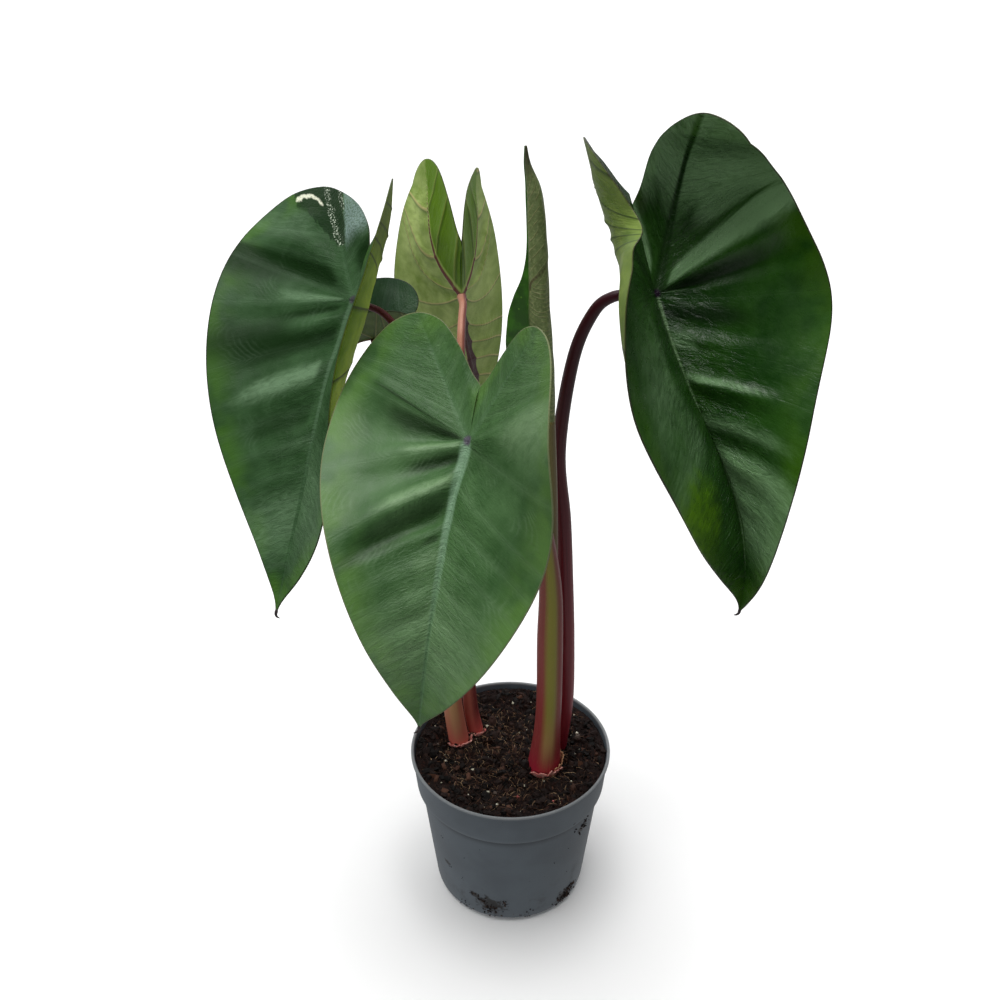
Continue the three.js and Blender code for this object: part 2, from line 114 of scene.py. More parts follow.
# Where and how each blade hangs. Heading turns the tip from the viewer towards +X, dip tilts it
# below the horizon and roll turns the blade about its midrib. Bend and sway curve the midrib and
# fold and curl lift each half, in degrees at the lobes, the stalk, the middle and the tip.
# Width, lobe, outline, fold, curl, pleat, creases and the painted light bands are for the left and
# the right half. Gap is the distance between side veins in lengths of the blade and phase shifts
# them along it. Fanned scales how far the side veins fan out, and bowed, in degrees, is how far they
# and the costae bend near the stalk. Pleat is the small swelling between side veins in mm. Creases
# are the larger folds, each as its place among the side veins, its height in mm and how far it
# reaches from the midrib. Rolled is a stretch of edge that turns up: its half, start, end and
# height in mm. The last table is painted light: pale bands of painted sheen along some veins, as
# place, width, start, end and strength; below 0 a band is painted shade, darker, instead.
BLADES = {
    "right": dict(
        at=(69.9, 2.5, 397), heading=23, dip=55.5, roll=-15.5, length=169.2,
        width=(1.11, 0.97), lobe=(1.42, 1.28), bend=(42, 0, 4.3, 29.9), sway=(8, 3.7, 11.1, -17),
        fold=((39.5, 53.5, 54.7, 13.5), (44.5, 15.5, 63.8, 78)),
        curl=((88, 29, -6.9, 50.2), (10, 38.1, -59.9, 60)), gap=0.12, phase=0.1, pleat=(0.5, 0.6),
        rolled=((-1, -0.1, 0.24, 4),), outline=(WIDE_SIDE, FULL_LOBE),
        creases=(
            ((-5, 0, 0.2), (0, 0.4, 0.2), (1.4, -0.4, 0.2), (2.4, 0.6, 0.2), (9, 0, 0.2)),
            (
                (-4.6, 0, 0.15), (-3.9, -1.2, 0.15), (-2.8, 1.8, 0.2), (-1.5, -3.2, 0.22),
                (-0.56, 5.0, 0.26), (-0.24, -0.8, 0.3), (-0.06, 0.9, 0.16), (0.22, 0.8, 0.2),
                (0.72, -1.5, 0.16), (0.98, 0.9, 0.1), (1.3, -0.9, 0.14), (1.8, -1.3, 0.2), (2.2, 1.9, 0.26),
                (2.75, -1.4, 0.2), (3.15, 0.9, 0.12), (3.9, -1.3, 0.16), (4.5, 0.9, 0.12), (5.2, -0.8, 0.14),
                (5.7, 0.6, 0.12), (6.3, 0, 0.1), (12, 0, 0.1),
            ),
        ),
        painted_light=(
            ((1.2, 1.5, 0.08, 0.5, 0.45), (3.2, 0.7, 0.06, 0.5, 0.32), (5.5, 2, 0.02, 0.4, 0.15)),
            (
                (-0.98, 0.28, 0.03, 0.6, 1.75), (-3.5, 1.1, 0.0, 0.7, 0.85), (-2.2, 0.45, 0.08, 0.75, 1.1),
                (-0.14, 0.07, 0.03, 0.13, 0.6), (0.42, 0.2, 0.0, 0.34, -0.9), (1.1, 0.25, 0, 0.1, 0.6),
                (2.1, 0.14, 0, 0.32, 0.7), (3.3, 0.3, 0, 0.36, 0.5), (4.5, 0.6, 0, 0.4, 0.5),
                (6.2, 1.4, 0.0, 0.44, 0.7), (-0.32, 0.16, 0.05, 0.4, -0.9), (-5.4, 0.8, 0, 0.4, 0.6),
            ),
        ),
    ),
    "front": dict(
        at=(-20, -100, 373.2), heading=-22.5, dip=52, roll=-1, length=134.2,
        width=(0.97, 1.05), lobe=(0.9, 0.88), bend=(13, 0, 3, 44), sway=(3, 0, 3.5, -8),
        fold=((-3, 6, 23, 16), (38, 37, 14.5, 8)),
        curl=((-23, -8, 8, -2), (15, 11, -3, -9)), gap=0.12, phase=0.15, pleat=(0.6, 0.4),
        creases=(
            (
                (-4.6, 0, 0.2), (-3, 0.4, 0.2), (-2.3, 0.6, 0.3), (-1.15, 2.4, 0.36), (-0.16, -3.6, 0.28),
                (0.1, 1.2, 0.2), (0.42, -3, 0.2), (1.08, 4.4, 0.3), (2.0, -4.4, 0.3), (2.42, 0.5, 0.14),
                (2.7, -0.9, 0.12), (3.3, 0.9, 0.12), (3.8, -0.4, 0.1), (4.6, 0.8, 0.12), (5.1, -0.3, 0.1),
                (5.8, 0.5, 0.1), (6.4, 0, 0.1), (12, 0, 0.1),
            ),
            (
                (-4.6, 0, 0.2), (-1.8, -0.5, 0.2), (-0.6, 1.6, 0.3), (0.3, -1.4, 0.25),
                (1.2, 0.5, 0.2), (2.1, -0.3, 0.2), (3, 0.5, 0.2), (4.4, 0, 0.1), (12, 0, 0.1),
            ),
        ),
        painted_light=(
            (
                (-0.52, 0.3, 0.02, 0.32, -1.0), (0.05, 0.13, 0.02, 0.3, 0.7), (0.4, 0.14, 0.0, 0.24, -1.1),
                (1.0, 0.22, 0.0, 0.34, 0.8), (1.72, 0.26, 0.0, 0.4, -0.55), (2.62, 0.13, 0.02, 0.1, -0.9),
                (3.2, 0.4, 0, 0.12, 0.3), (-1.05, 0.05, 0.05, 0.34, -0.8), (1.3, 0.03, 0.03, 0.3, -0.7),
                (2.15, 0.26, 0.14, 0.5, -0.8), (6, 2.6, 0, 0.5, 0.5),
            ),
            (
                (0.3, 0.5, 0.02, 0.3, -0.3), (-1, 0.12, 0.04, 0.2, 0.3), (6, 3, 0, 0.5, 0.5),
                (-0.6, 0.5, 0.16, 0.75, 0.7),
            ),
        ),
    ),
    "left": dict(
        at=(-80.2, 19, 386.5), heading=-29, dip=50.5, roll=-8.5, length=162.6,
        width=(0.98, 1.08), lobe=(0.87, 0.83), bend=(20, 0, 5, 12), sway=(2, 0, 4.5, -3),
        fold=((-21, -2.5, 9, 5.5), (42.5, 29.5, 22.5, 15.5)),
        curl=((2, 28, 16, -12), (14, 34, 51, 18)), gap=0.12, phase=-0.15, pleat=(0.6, 0.4),
        creases=(
            (
                (-4.6, 0, 0.2), (-3.4, 0.3, 0.2), (-2.4, 3, 0.3), (-1.3, -3.2, 0.4), (-0.1, 2.0, 0.34),
                (0.17, -1.2, 0.25), (0.45, 1.6, 0.25), (1.02, -3.4, 0.3), (1.9, 2.4, 0.3), (3.1, -1.6, 0.25),
                (3.9, 0.9, 0.2), (4.4, -0.5, 0.15), (4.9, 0.7, 0.14), (5.4, -0.5, 0.12), (6, 0.6, 0.1),
                (6.6, 0, 0.1), (12, 0, 0.1),
            ),
            ((-5, 0, 0.2), (0, 0.6, 0.2), (1.4, -0.4, 0.2), (2.4, 0.4, 0.2), (12, 0, 0.2)),
        ),
        painted_light=(
            (
                (-1.62, 0.42, 0.05, 0.85, -1.1), (-0.35, 0.3, 0.03, 0.4, 0.6), (0.14, 0.09, 0.04, 0.32, -0.9),
                (-1.0, 0.45, 0.27, 0.95, -1.0), (0.45, 0.3, 0.2, 0.7, -0.9), (-3.4, 0.9, 0.08, 0.7, 0.4),
                (0.4, 0.06, 0.02, 0.24, 0.4), (0.8, 0.22, 0.02, 0.46, -1.0), (1.85, 0.4, 0.03, 0.42, 0.75),
                (3.1, 0.4, 0.03, 0.34, -0.7), (4, 0.3, 0, 0.2, 0.3), (4.7, 0.25, 0.02, 0.2, -0.4),
                (6.5, 1.6, 0, 0.4, 0.5),
            ),
            ((5.5, 2.5, 0, 0.5, 0.45),),
        ),
        outline=(ROUND_LOBE, HALF_OUTLINE), fanned=0.5,
    ),
    "back": dict(
        at=(-26.8, 61.1, 369.7), heading=181.5, dip=69.5, roll=5.5, length=116.8,
        width=(0.75, 0.91), lobe=(1.29, 1.45), bend=(30, 0, -4, 13), sway=(3, 0, -8, 3),
        fold=((68, 57, 44, 43), (58, 50, 35, 40)),
        curl=((-1, 3, 6, 4), (6, 8, -9, 4)), gap=0.16, phase=0, pleat=(1.5, 1.0), bowed=38,
        outline=(BROAD_LOBE, HALF_OUTLINE),
        creases=(PLAIN, PLAIN),
    ),
    "rear": dict(
        at=(-74.5, 55.4, 347.9), heading=-95, dip=12, roll=0, length=66,
        width=(1, 1), lobe=(0.95, 0.95), bend=(5, 0, 8, 14), sway=(0, 0, 0, 0),
        fold=((45, 45, 40, 25), (45, 45, 40, 25)),
        curl=((5, 5, 5, 5), (5, 5, 5, 5)), gap=0.14, phase=0, pleat=(0.3, 0.3),
        creases=(PLAIN, PLAIN),
    ),
}

# Stalks, as x, y, z and radius from the peat upwards.
STALKS = {
    "right": [
        (29, 10, 95, 5.6), (32.6, 9, 132, 5), (32, 8, 178, 4.9), (30, 8, 221, 4.9), (28, 9, 261, 4.6),
        (24.8, 12, 303, 4), (31, 14, 355, 3.4), (40.2, 12.5, 382, 3.1), (49.6, 11, 391.5, 2.8),
        (62, 9.6, 393.2, 2.6),
    ],
    "front": [
        (20.2, -8, 95, 9.6), (21.6, -7.4, 122, 7.7), (22.3, -7, 150, 7.2), (22, -6, 189, 7.2),
        (21.6, -6.5, 224, 6.2), (18.5, -12, 262, 4.2), (11.5, -28, 304, 3.3), (0, -56, 343, 2.9),
        (-10, -80, 361, 2.6),
    ],
    "left": [
        (-31.6, 14, 95, 6.2), (-35, 13, 128, 5.7), (-37, 12, 180, 4.8), (-39, 11, 240, 4),
        (-43, 12, 300, 3.2), (-49, 14.5, 345, 2.5), (-54.5, 18.5, 362.5, 2.1),
        (-61.3, 22, 372.5, 1.9), (-68, 24.5, 378, 1.8),
    ],
    "back": [
        (-21.3, 22.4, 95, 4.7), (-24.6, 22.2, 120, 4.4), (-27, 22, 180, 3.9), (-28, 22, 250, 3.3),
        (-27.5, 25, 308, 2.7), (-27, 30, 341, 2.3), (-26.8, 38.5, 355.5, 2.2),
        (-26.5, 47.5, 362.5, 2.1),
    ],
    "rear": [
        (-33, 31, 95, 3.4), (-36, 32, 150, 3), (-43, 33, 220, 2.6), (-53, 37, 285, 2.2),
        (-64, 45, 322, 1.9),
    ],
}
ROLLED_STALK = [
    (21.5, -5, 200, 3.4), (22, -3.5, 240, 3.3), (21, -2.5, 285, 3.2), (19, -2, 331, 3),
]

# The rolled leaf, as x, y, z, radius of the roll and width of the open flap.
ROLLED_LEAF = [
    (19, -2, 329, 3, 0.5), (18.4, -2, 341, 3.3, 9), (17.2, -2, 353, 3.9, 14.5),
    (15.4, -2, 368, 4.7, 14.5), (13.8, -2, 382.5, 5.3, 11.5), (12.9, -2, 395.6, 5, 8),
    (12.2, -2, 408, 4.9, 3), (11.5, -2, 425, 4.6, 0.8), (10.7, -2, 440, 4.2, 0.7),
    (9.4, -2, 452, 3.4, 0.6), (6.4, -2, 463, 1.5, 0.4), (5.5, -2, 471.5, 0.5, 0.3),
]
ROLL_START = 192
ROLL_SWEEP = 336
FLAP_DIRECTION = 168
FLAP_THICKNESS = 0.7


# Curves and surfaces

def through(values, t):
    """A smooth curve through the values, which stand at t = 0, 1, 2 and so on. Between b and c,
    with neighbours a and d, it is half of 2b + (c-a)f + (2a-5b+4c-d)f^2 + (3b-a-3c+d)f^3."""
    values = np.asarray(values, float)
    last = len(values) - 1
    u = np.clip(np.asarray(t, float), 0, last)
    i = np.minimum(u.astype(int), last - 1)
    f = u - i
    first = i == 0
    final = i == last - 1
    if values.ndim > 1:
        f, first, final = f[..., None], first[..., None], final[..., None]
    b = values[i]
    c = values[i + 1]
    a = np.where(first, 2 * b - c, values[np.maximum(i - 1, 0)])
    d = np.where(final, 2 * c - b, values[np.minimum(i + 2, last)])
    return 0.5 * (
        2 * b + (c - a) * f + (2 * a - 5 * b + 4 * c - d) * f**2 + (3 * b - a - 3 * c + d) * f**3
    )


def ease(value, low, high):
    """0 below low, 1 above high and the smooth step 3s^2 - 2s^3 between them."""
    s = np.clip((value - low) / (high - low), 0, 1)
    return s * s * (3 - 2 * s)


def unit(vectors):
    """Each vector at length 1; the floor keeps a vector of no length from a division by 0."""
    return vectors / np.maximum(np.linalg.norm(vectors, axis=-1, keepdims=True), 1e-12)


def circle(count):
    """The angles of that many even steps round a circle."""
    return np.arange(count) * 2 * np.pi / count


def rough(x, y, size, seed):
    """Smooth random heights from -1 to 1: random numbers on a square lattice of that size,
    read between its points by the smooth step in both directions."""
    cells = 97
    table = np.random.default_rng(seed).uniform(-1, 1, (cells, cells))
    u = np.asarray(x) / size + 0.37 * seed
    v = np.asarray(y) / size + 0.71 * seed
    i = np.floor(u).astype(int)
    j = np.floor(v).astype(int)
    f = ease(u - i, 0, 1)
    g = ease(v - j, 0, 1)

    def corner(p, q):
        return table[(i + p) % cells, (j + q) % cells]

    low = corner(0, 0) * (1 - f) + corner(1, 0) * f
    high = corner(0, 1) * (1 - f) + corner(1, 1) * f
    return low * (1 - g) + high * g


def grid_faces(rows, columns, start=0):
    """Quads between each row of points and the next, closed round the columns."""
    i, j = np.meshgrid(np.arange(rows - 1), np.arange(columns), indexing="ij")
    a = start + i * columns + j
    b = start + i * columns + (j + 1) % columns
    return np.stack([a, b, b + columns, a + columns], -1).reshape(-1, 4)


def fan(pole, ring, flip=False):
    """Triangles from a pole to each side of a ring of points."""
    after = np.roll(ring, -1)
    sides = [np.full(len(ring), pole), after, ring] if flip else [np.full(len(ring), pole), ring, after]
    return np.stack(sides, -1)


def closed(rings, poles, inward=False):
    """The points and faces of a body from rings of points, closed at either end by a fan to a
    pole. Inward is for rings whose order would turn the faces inside out."""
    rows, columns, _ = rings.shape
    total = rows * columns
    ring = np.arange(columns)
    walls = grid_faces(rows, columns)
    faces = [
        walls[:, ::-1] if inward else walls,
        fan(total, ring, not inward),
        fan(total + 1, total - columns + ring, inward),
    ]
    return np.vstack([rings.reshape(-1, 3), *poles]), faces


def corner_normals(points, triangles):
    """The unit normal at each point: the sum of its triangles' cross products."""
    a, b, c = (points[triangles[:, k]] for k in range(3))
    normal = np.cross(b - a, c - a)
    total = np.zeros_like(points)
    for k in range(3):
        for axis in range(3):
            total[:, axis] += np.bincount(triangles[:, k], normal[:, axis], len(points))
    return unit(total)


def mesh_of(name, points, faces):
    """A mesh from points in millimetres and arrays of faces."""
    mesh = bpy.data.meshes.new(name)
    mesh.from_pydata((points * MM).tolist(), [], [face for block in faces for face in block.tolist()])
    return mesh


def placed(name, data):
    """A new object in the scene."""
    made = bpy.data.objects.new(name, data)
    bpy.context.scene.collection.objects.link(made)
    return made


def piece(name, points, faces, finish, slot, nodes=(), fields=None, smooth=True):
    """An object with a finish and a named number or vector for each point. It rides on the part
    and stands for the frame's nodes."""
    mesh = mesh_of(name, points, faces)
    if smooth:
        mesh.shade_smooth()
    for key, values in (fields or {}).items():
        vector = np.ndim(values) == 2
        kind = "FLOAT_VECTOR" if vector else "FLOAT"
        layer = mesh.attributes.new(key, kind, "POINT")
        layer.data.foreach_set("vector" if vector else "value", np.ascontiguousarray(values, float).ravel())
    mesh.materials.append(finish)
    made = placed(name, mesh)
    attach(made, "root")
    if nodes:
        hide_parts(*nodes)
    return made


# Finishes

def tone(channels):
    """A colour of a picture, 0 to 255 a channel, as the linear colour that a shader takes."""
    share = np.array(channels) / 255
    linear = np.where(share <= 0.04045, share / 12.92, ((share + 0.055) / 1.055) ** 2.4)
    return (*linear.tolist(), 1.0)


class Value:
    """A socket that takes part in sums. Each operator adds a Math node to its tree."""

    def __init__(self, nodes, socket):
        self.nodes = nodes
        self.socket = socket

    def math(self, operation, *others):
        return self.nodes.math(operation, self, *others)

    def __add__(self, other):
        return self.math("ADD", other)

    def __sub__(self, other):
        return self.math("SUBTRACT", other)

    def __rsub__(self, other):
        return self.nodes.math("SUBTRACT", other, self)

    def __mul__(self, other):
        return self.math("MULTIPLY", other)

    def __truediv__(self, other):
        return self.math("DIVIDE", other)

    def __abs__(self):
        return self.math("ABSOLUTE")

    __radd__ = __add__
    __rmul__ = __mul__

    def fraction(self):
        return self.math("FRACT")

    def sine(self):
        return self.math("SINE")

    def ease(self, low, high, first=0.0, final=1.0):
        """The first value below low, the final one above high and a smooth step between."""
        sockets = {"Value": self, "From Min": low, "From Max": high, "To Min": first, "To Max": final}
        made = self.nodes.node("MapRange", {"interpolation_type": "SMOOTHSTEP"}, sockets)
        return Value(self.nodes, made.outputs["Result"])


class Nodes:
    """A tree of shader nodes and the sums, colours and textures that are made in it."""

    def __init__(self, tree):
        self.tree = tree

    def node(self, kind, settings=None, sockets=None):
        """A new node with its settings made first and then its sockets filled or linked."""
        made = self.tree.nodes.new("ShaderNode" + kind)
        for key, value in (settings or {}).items():
            setattr(made, key, value)
        for key, value in (sockets or {}).items():
            self.feed(made.inputs[key], value)
        return made

    def feed(self, socket, value):
        """Links a value, or sets a number, a linear colour or three channels of a picture."""
        if isinstance(value, Value):
            self.tree.links.new(value.socket, socket)
        else:
            socket.default_value = tone(value) if np.size(value) == 3 else value

    def math(self, operation, *values):
        made = self.node("Math", {"operation": operation}, dict(enumerate(values)))
        return Value(self, made.outputs[0])

    def mix(self, share, first, second):
        """The first colour where the share is 0 and the second where it is 1."""
        made = self.node("Mix", {"data_type": "RGBA"}, {0: share, 6: first, 7: second})
        return Value(self, made.outputs[2])

    def layers(self, colour, *covers):
        """The colour with each cover, as its share and its colour, laid over it in turn."""
        for share, cover in covers:
            colour = self.mix(share, colour, cover)
        return colour

    def field(self, name, output="Fac"):
        """The number that each point of the mesh has by that name, or the Vector."""
        made = self.node("Attribute", {"attribute_name": name})
        return Value(self, made.outputs[output])

    def where(self, output):
        """One of the coordinates that every point has, such as Object."""
        return Value(self, self.node("TexCoord").outputs[output])

    def place(self):
        """The point of the object, in millimetres."""
        made = self.node("VectorMath", {"operation": "SCALE"}, {0: self.where("Object"), "Scale": 1 / MM})
        return Value(self, made.outputs[0])

    def join(self, x, y, z=0.0):
        made = self.node("CombineXYZ", {}, {0: x, 1: y, 2: z})
        return Value(self, made.outputs[0])

    def split(self, vector):
        made = self.node("SeparateXYZ", {}, {0: vector})
        return [Value(self, made.outputs[k]) for k in range(3)]

    def length(self, vector):
        made = self.node("VectorMath", {"operation": "LENGTH"}, {0: vector})
        return Value(self, made.outputs["Value"])

    def noise(self, vector, size, detail=3.0, roughness=0.55, distortion=0.0):
        """Cloudy noise from 0 to 1 with patches of that size in millimetres."""
        sockets = {"Vector": vector, "Scale": 1 / size, "Detail": detail}
        made = self.node("TexNoise", {}, {**sockets, "Roughness": roughness, "Distortion": distortion})
        return Value(self, made.outputs[0])

    def cells(self, vector, size):
        """The distance to the nearest of many scattered points, in shares of that size."""
        made = self.node("TexVoronoi", {}, {"Vector": vector, "Scale": 1 / size})
        return Value(self, made.outputs["Distance"])


class Finish(Nodes):
    """A node material built up from a Principled shader."""

    def __init__(self, name, shine=0.5, **steady):
        self.material = bpy.data.materials.new(name)
        self.material.use_nodes = True
        super().__init__(self.material.node_tree)
        self.tree.nodes.clear()
        self.skin = self.node("BsdfPrincipled", {}, {"Specular IOR Level": shine, **steady})
        out = self.node("OutputMaterial")
        self.tree.links.new(self.skin.outputs[0], out.inputs["Surface"])

    def wear(self, colour, roughness, height, relief, coat=0.0):
        """Feeds the sockets that change over the surface. Relief is the bump's depth in mm."""
        bump = self.node("Bump", {}, {"Height": height, "Distance": relief * MM})
        worn = {"Base Color": colour, "Roughness": roughness, "Coat Weight": coat}
        for key, value in {**worn, "Normal": Value(self, bump.outputs["Normal"])}.items():
            self.feed(self.skin.inputs[key], value)
        return self.material


def columns(names, **rows):
    """A dictionary for each name, out of rows that hold one value for each."""
    return {name: {key: row[k] for key, row in rows.items()} for k, name in enumerate(names)}


# How the leaves look, in the order of BLADES. First the colours: of the clouds, the yellower green
# along the edge, the veins, ribs, margin line, stalk spot, the painted sheen and the painted shade,
# and those of the underside. Then the gloss, how strongly each mark shows (the painted sheen too),
# the width of the ribs' line (slim), the bumps near the midrib (crinkle) and the specular level (shine).
LEAF_LOOKS = columns(
    BLADES,
    deep=((16, 50, 8), (44, 78, 36), (30, 58, 26), (34, 66, 16), (24, 50, 26)),
    body=((38, 76, 20), (71, 105, 61), (54, 84, 50), (52, 90, 26), (36, 68, 40)),
    edge=((58, 96, 10), (92, 132, 52), (60, 98, 30), (66, 100, 30), (56, 90, 50)),
    vein=((46, 74, 40), (112, 140, 104), (100, 126, 98), (84, 118, 66), (84, 112, 92)),
    rib=((100, 130, 88), (118, 150, 120), (92, 120, 92), (100, 130, 86), (100, 128, 106)),
    margin=((38, 18, 26), (112, 116, 84), (40, 38, 36), (58, 52, 36), (48, 56, 44)),
    spot=((36, 18, 40), (84, 80, 90), (60, 60, 62), (60, 60, 62), (60, 60, 62)),
    wax=((122, 158, 112), (120, 150, 108), (110, 140, 106), (100, 124, 90), (100, 124, 104)),
    hollow=((10, 34, 6), (20, 44, 12), (12, 40, 6), (20, 44, 12), (20, 40, 24)),
    under_deep=((84, 112, 30), (80, 106, 36), (122, 158, 14), (122, 152, 46), (66, 88, 42)),
    under=((128, 150, 64), (112, 138, 60), (172, 200, 62), (208, 228, 140), (96, 116, 60)),
    under_vein=((50, 70, 26), (150, 148, 90), (66, 80, 24), (200, 190, 124), (116, 120, 74)),
    under_rib=((104, 92, 60), (126, 90, 72), (116, 90, 66), (112, 60, 56), (110, 76, 62)),
    under_edge=((122, 142, 72), (110, 134, 60), (92, 124, 10), (100, 140, 0), (86, 108, 44)),
    roughness=(0.3, 0.48, 0.4, 0.42, 0.42),
    halo=(0.08, 0.2, 0.12, 0.2, 0.15),
    arc=(0.05, 0.22, 0.12, 0.1, 0.08),
    line=(0.05, 0.03, 0.02, 0.3, 0.03),
    midrib=(0.7, 0.7, 0.35, 0.6, 0.5),
    slim=(0.5, 1.6, 0.9, 1.0, 0.9),
    near_edge=(0.5, 0.5, 0.8, 0.5, 0.4),
    inner=(0.2, 0.3, 0.3, 1.0, 0.3),
    waxy=(0.8, 0.7, 0.7, 0.5, 0.5),
    crinkle=(3.2, 1.8, 1.8, 1.2, 0.8),
    costa=(0.6, 0, 0, 0, 0),
    shine=(0.34, 0.3, 0.12, 0.5, 0.25),
)

# What each point of a leaf carries: its place among the side veins and the distance between them,
# its distances off the spine, from the ribs and from the rim, whether the midrib is its nearest
# rib, whether it lies between a costa and the notch, its painted light, sheen above 0 and shade
# below, and whether it is on the underside.
LEAF_FIELDS = ("veins", "spread", "away", "rib", "rim", "main", "inner", "painted_light", "under")

# The way each drip tip curls, and the middle of the right leaf's yellow patch.
DRIP_TIPS = {"right": (-1, 0, 0.5), "left": (1, 0, -0.2), "front": (-0.4, 0, -0.6)}
YELLOW_AT = (-38, 107)

# The wet patch near the left leaf's lobe: where its point is, which way it opens, and the glare.
WET_POINT = (-19, -26)
WET_TOWARDS = (-0.694, -0.72)
GLARE_AT = (-53, -46.2)


def leaf_upper(finish, look, part, length):
    """The upper side: clouds of two greens, a yellower margin with a thin dark line, painted shade in
    the hollows, painted sheen and fine strands along the veins, a line of painted shade along the
    costae, the ribs, and a spot where the stalk joins."""
    flat, rib, rim, painted_light = part["flat"], part["rib"], part["rim"], part["painted_light"]
    near_edge = (1 - rim.ease(1.0, 17.0)) * finish.noise(flat, 24, 2).ease(0.35, 0.6)
    slim = 1 - rib.ease(0.5 * look["slim"], 1.2 * look["slim"])
    pale = (painted_light * (0.35 + part["ragged"] * 1.3)).ease(0.12, 0.9)
    fading = 1 - finish.length(flat).ease(24, 0.66 * length) * 0.75
    centre = finish.length(flat) + finish.noise(flat, 1.2) * 1.4
    return finish.layers(
        finish.mix(part["cloud"] * 0.7 + part["mottle"] * 0.3, look["deep"], look["body"]),
        (near_edge * look["near_edge"], look["edge"]),
        # painted shade in the hollows, and pale painted sheen that stands for the light on the folds
        (part["hollowed"] * 0.9, look["hollow"]),
        (pale * look["waxy"], look["wax"]),
        ((1 - part["gap"].ease(0.4, 4.0)) * part["strand"] * look["halo"], look["vein"]),
        (part["arc"] * look["arc"], look["vein"]),
        (part["line"] * look["line"], look["vein"]),
        (slim * fading * (0.1 + part["main"] * look["midrib"]), look["rib"]),
        # painted shade: a dark line in the valley along each costa
        ((1 - rib.ease(0.7, 2.2)) * (1 - part["main"]) * look["costa"], look["hollow"]),
        ((1 - rim.ease(0.15, 0.55)) * 0.85, look["margin"]),
        (1 - centre.ease(2.0, 3.6), look["spot"]),
    )


def leaf_lower(finish, look, part, name):
    """The underside: paler, with darker side veins, a shadow beside each, and coloured ribs.
    The back leaf, which shows it, has painted shade on one side and low down, paler costae and a
    painted shadow of its stalk beside its midrib."""
    rib, rim, main, inner = part["rib"], part["rim"], part["main"], part["inner"]
    past = ((part["veins"] + 0.5).fraction() - 0.5) * part["spread"]
    quiet = 1 - inner * look["inner"] * 0.75
    side_vein = (1 - part["gap"].ease(0.3, 0.9)) * 0.85 * quiet
    shadow = (past.ease(0.2, 0.7) * (1 - past.ease(1.0, 2.4)) * 0.4, look["hollow"])
    shaded, costae, beside = [], [], []
    if name == "back":
        x, _, z = finish.split(finish.place())
        # Painted shade: darker towards one side and low down.
        shade = (x.ease(-30, -8) * 0.3 + (1 - z.ease(330, 410)) * 0.2) * (1 - inner)
        shaded = [(shade, look["under_deep"])]
        costae = [((1 - rib.ease(1.0, 1.9)) * (1 - main) * 0.5, look["under"])]
        x, y, _ = finish.split(part["flat"])
        # Painted shadow that the stalk casts beside the midrib.
        beside = [((1 - abs(x + 2.7 - y * 0.01).ease(2.0, 2.7)) * y.ease(-2, 1), (64, 14, 18))]
    return finish.layers(
        finish.mix(part["cloud"] * 0.5 + part["mottle"] * 0.5, look["under_deep"], look["under"]),
        ((1 - part["away"].ease(0.02, 0.14)) * 0.3, look["under_deep"]),
        (inner * look["inner"], look["under_edge"]),
        ((1 - rim.ease(0.5, 9.0)) * 0.35, look["under_edge"]),
        *shaded,
        shadow,
        (side_vein, look["under_vein"]),
        *costae,
        (1 - rib.ease(0.6, 1.15), look["under_rib"]),
        *beside,
        ((1 - rim.ease(0.15, 0.5)) * 0.6, look["margin"]),
    )


def yellowed(finish, colour, part):
    """The right leaf's yellow green patch."""
    x, y, _ = finish.split(part["flat"])
    far = finish.length(finish.join(x - YELLOW_AT[0], y - YELLOW_AT[1]))
    yellow = 1 - (far + finish.noise(part["flat"], 9, 3) * 20).ease(18, 38)
    yellow = yellow * (0.45 + part["mottle"] * 0.55)
    return finish.mix(yellow * (1 - part["under"]) * 0.95, colour, (80, 122, 2))


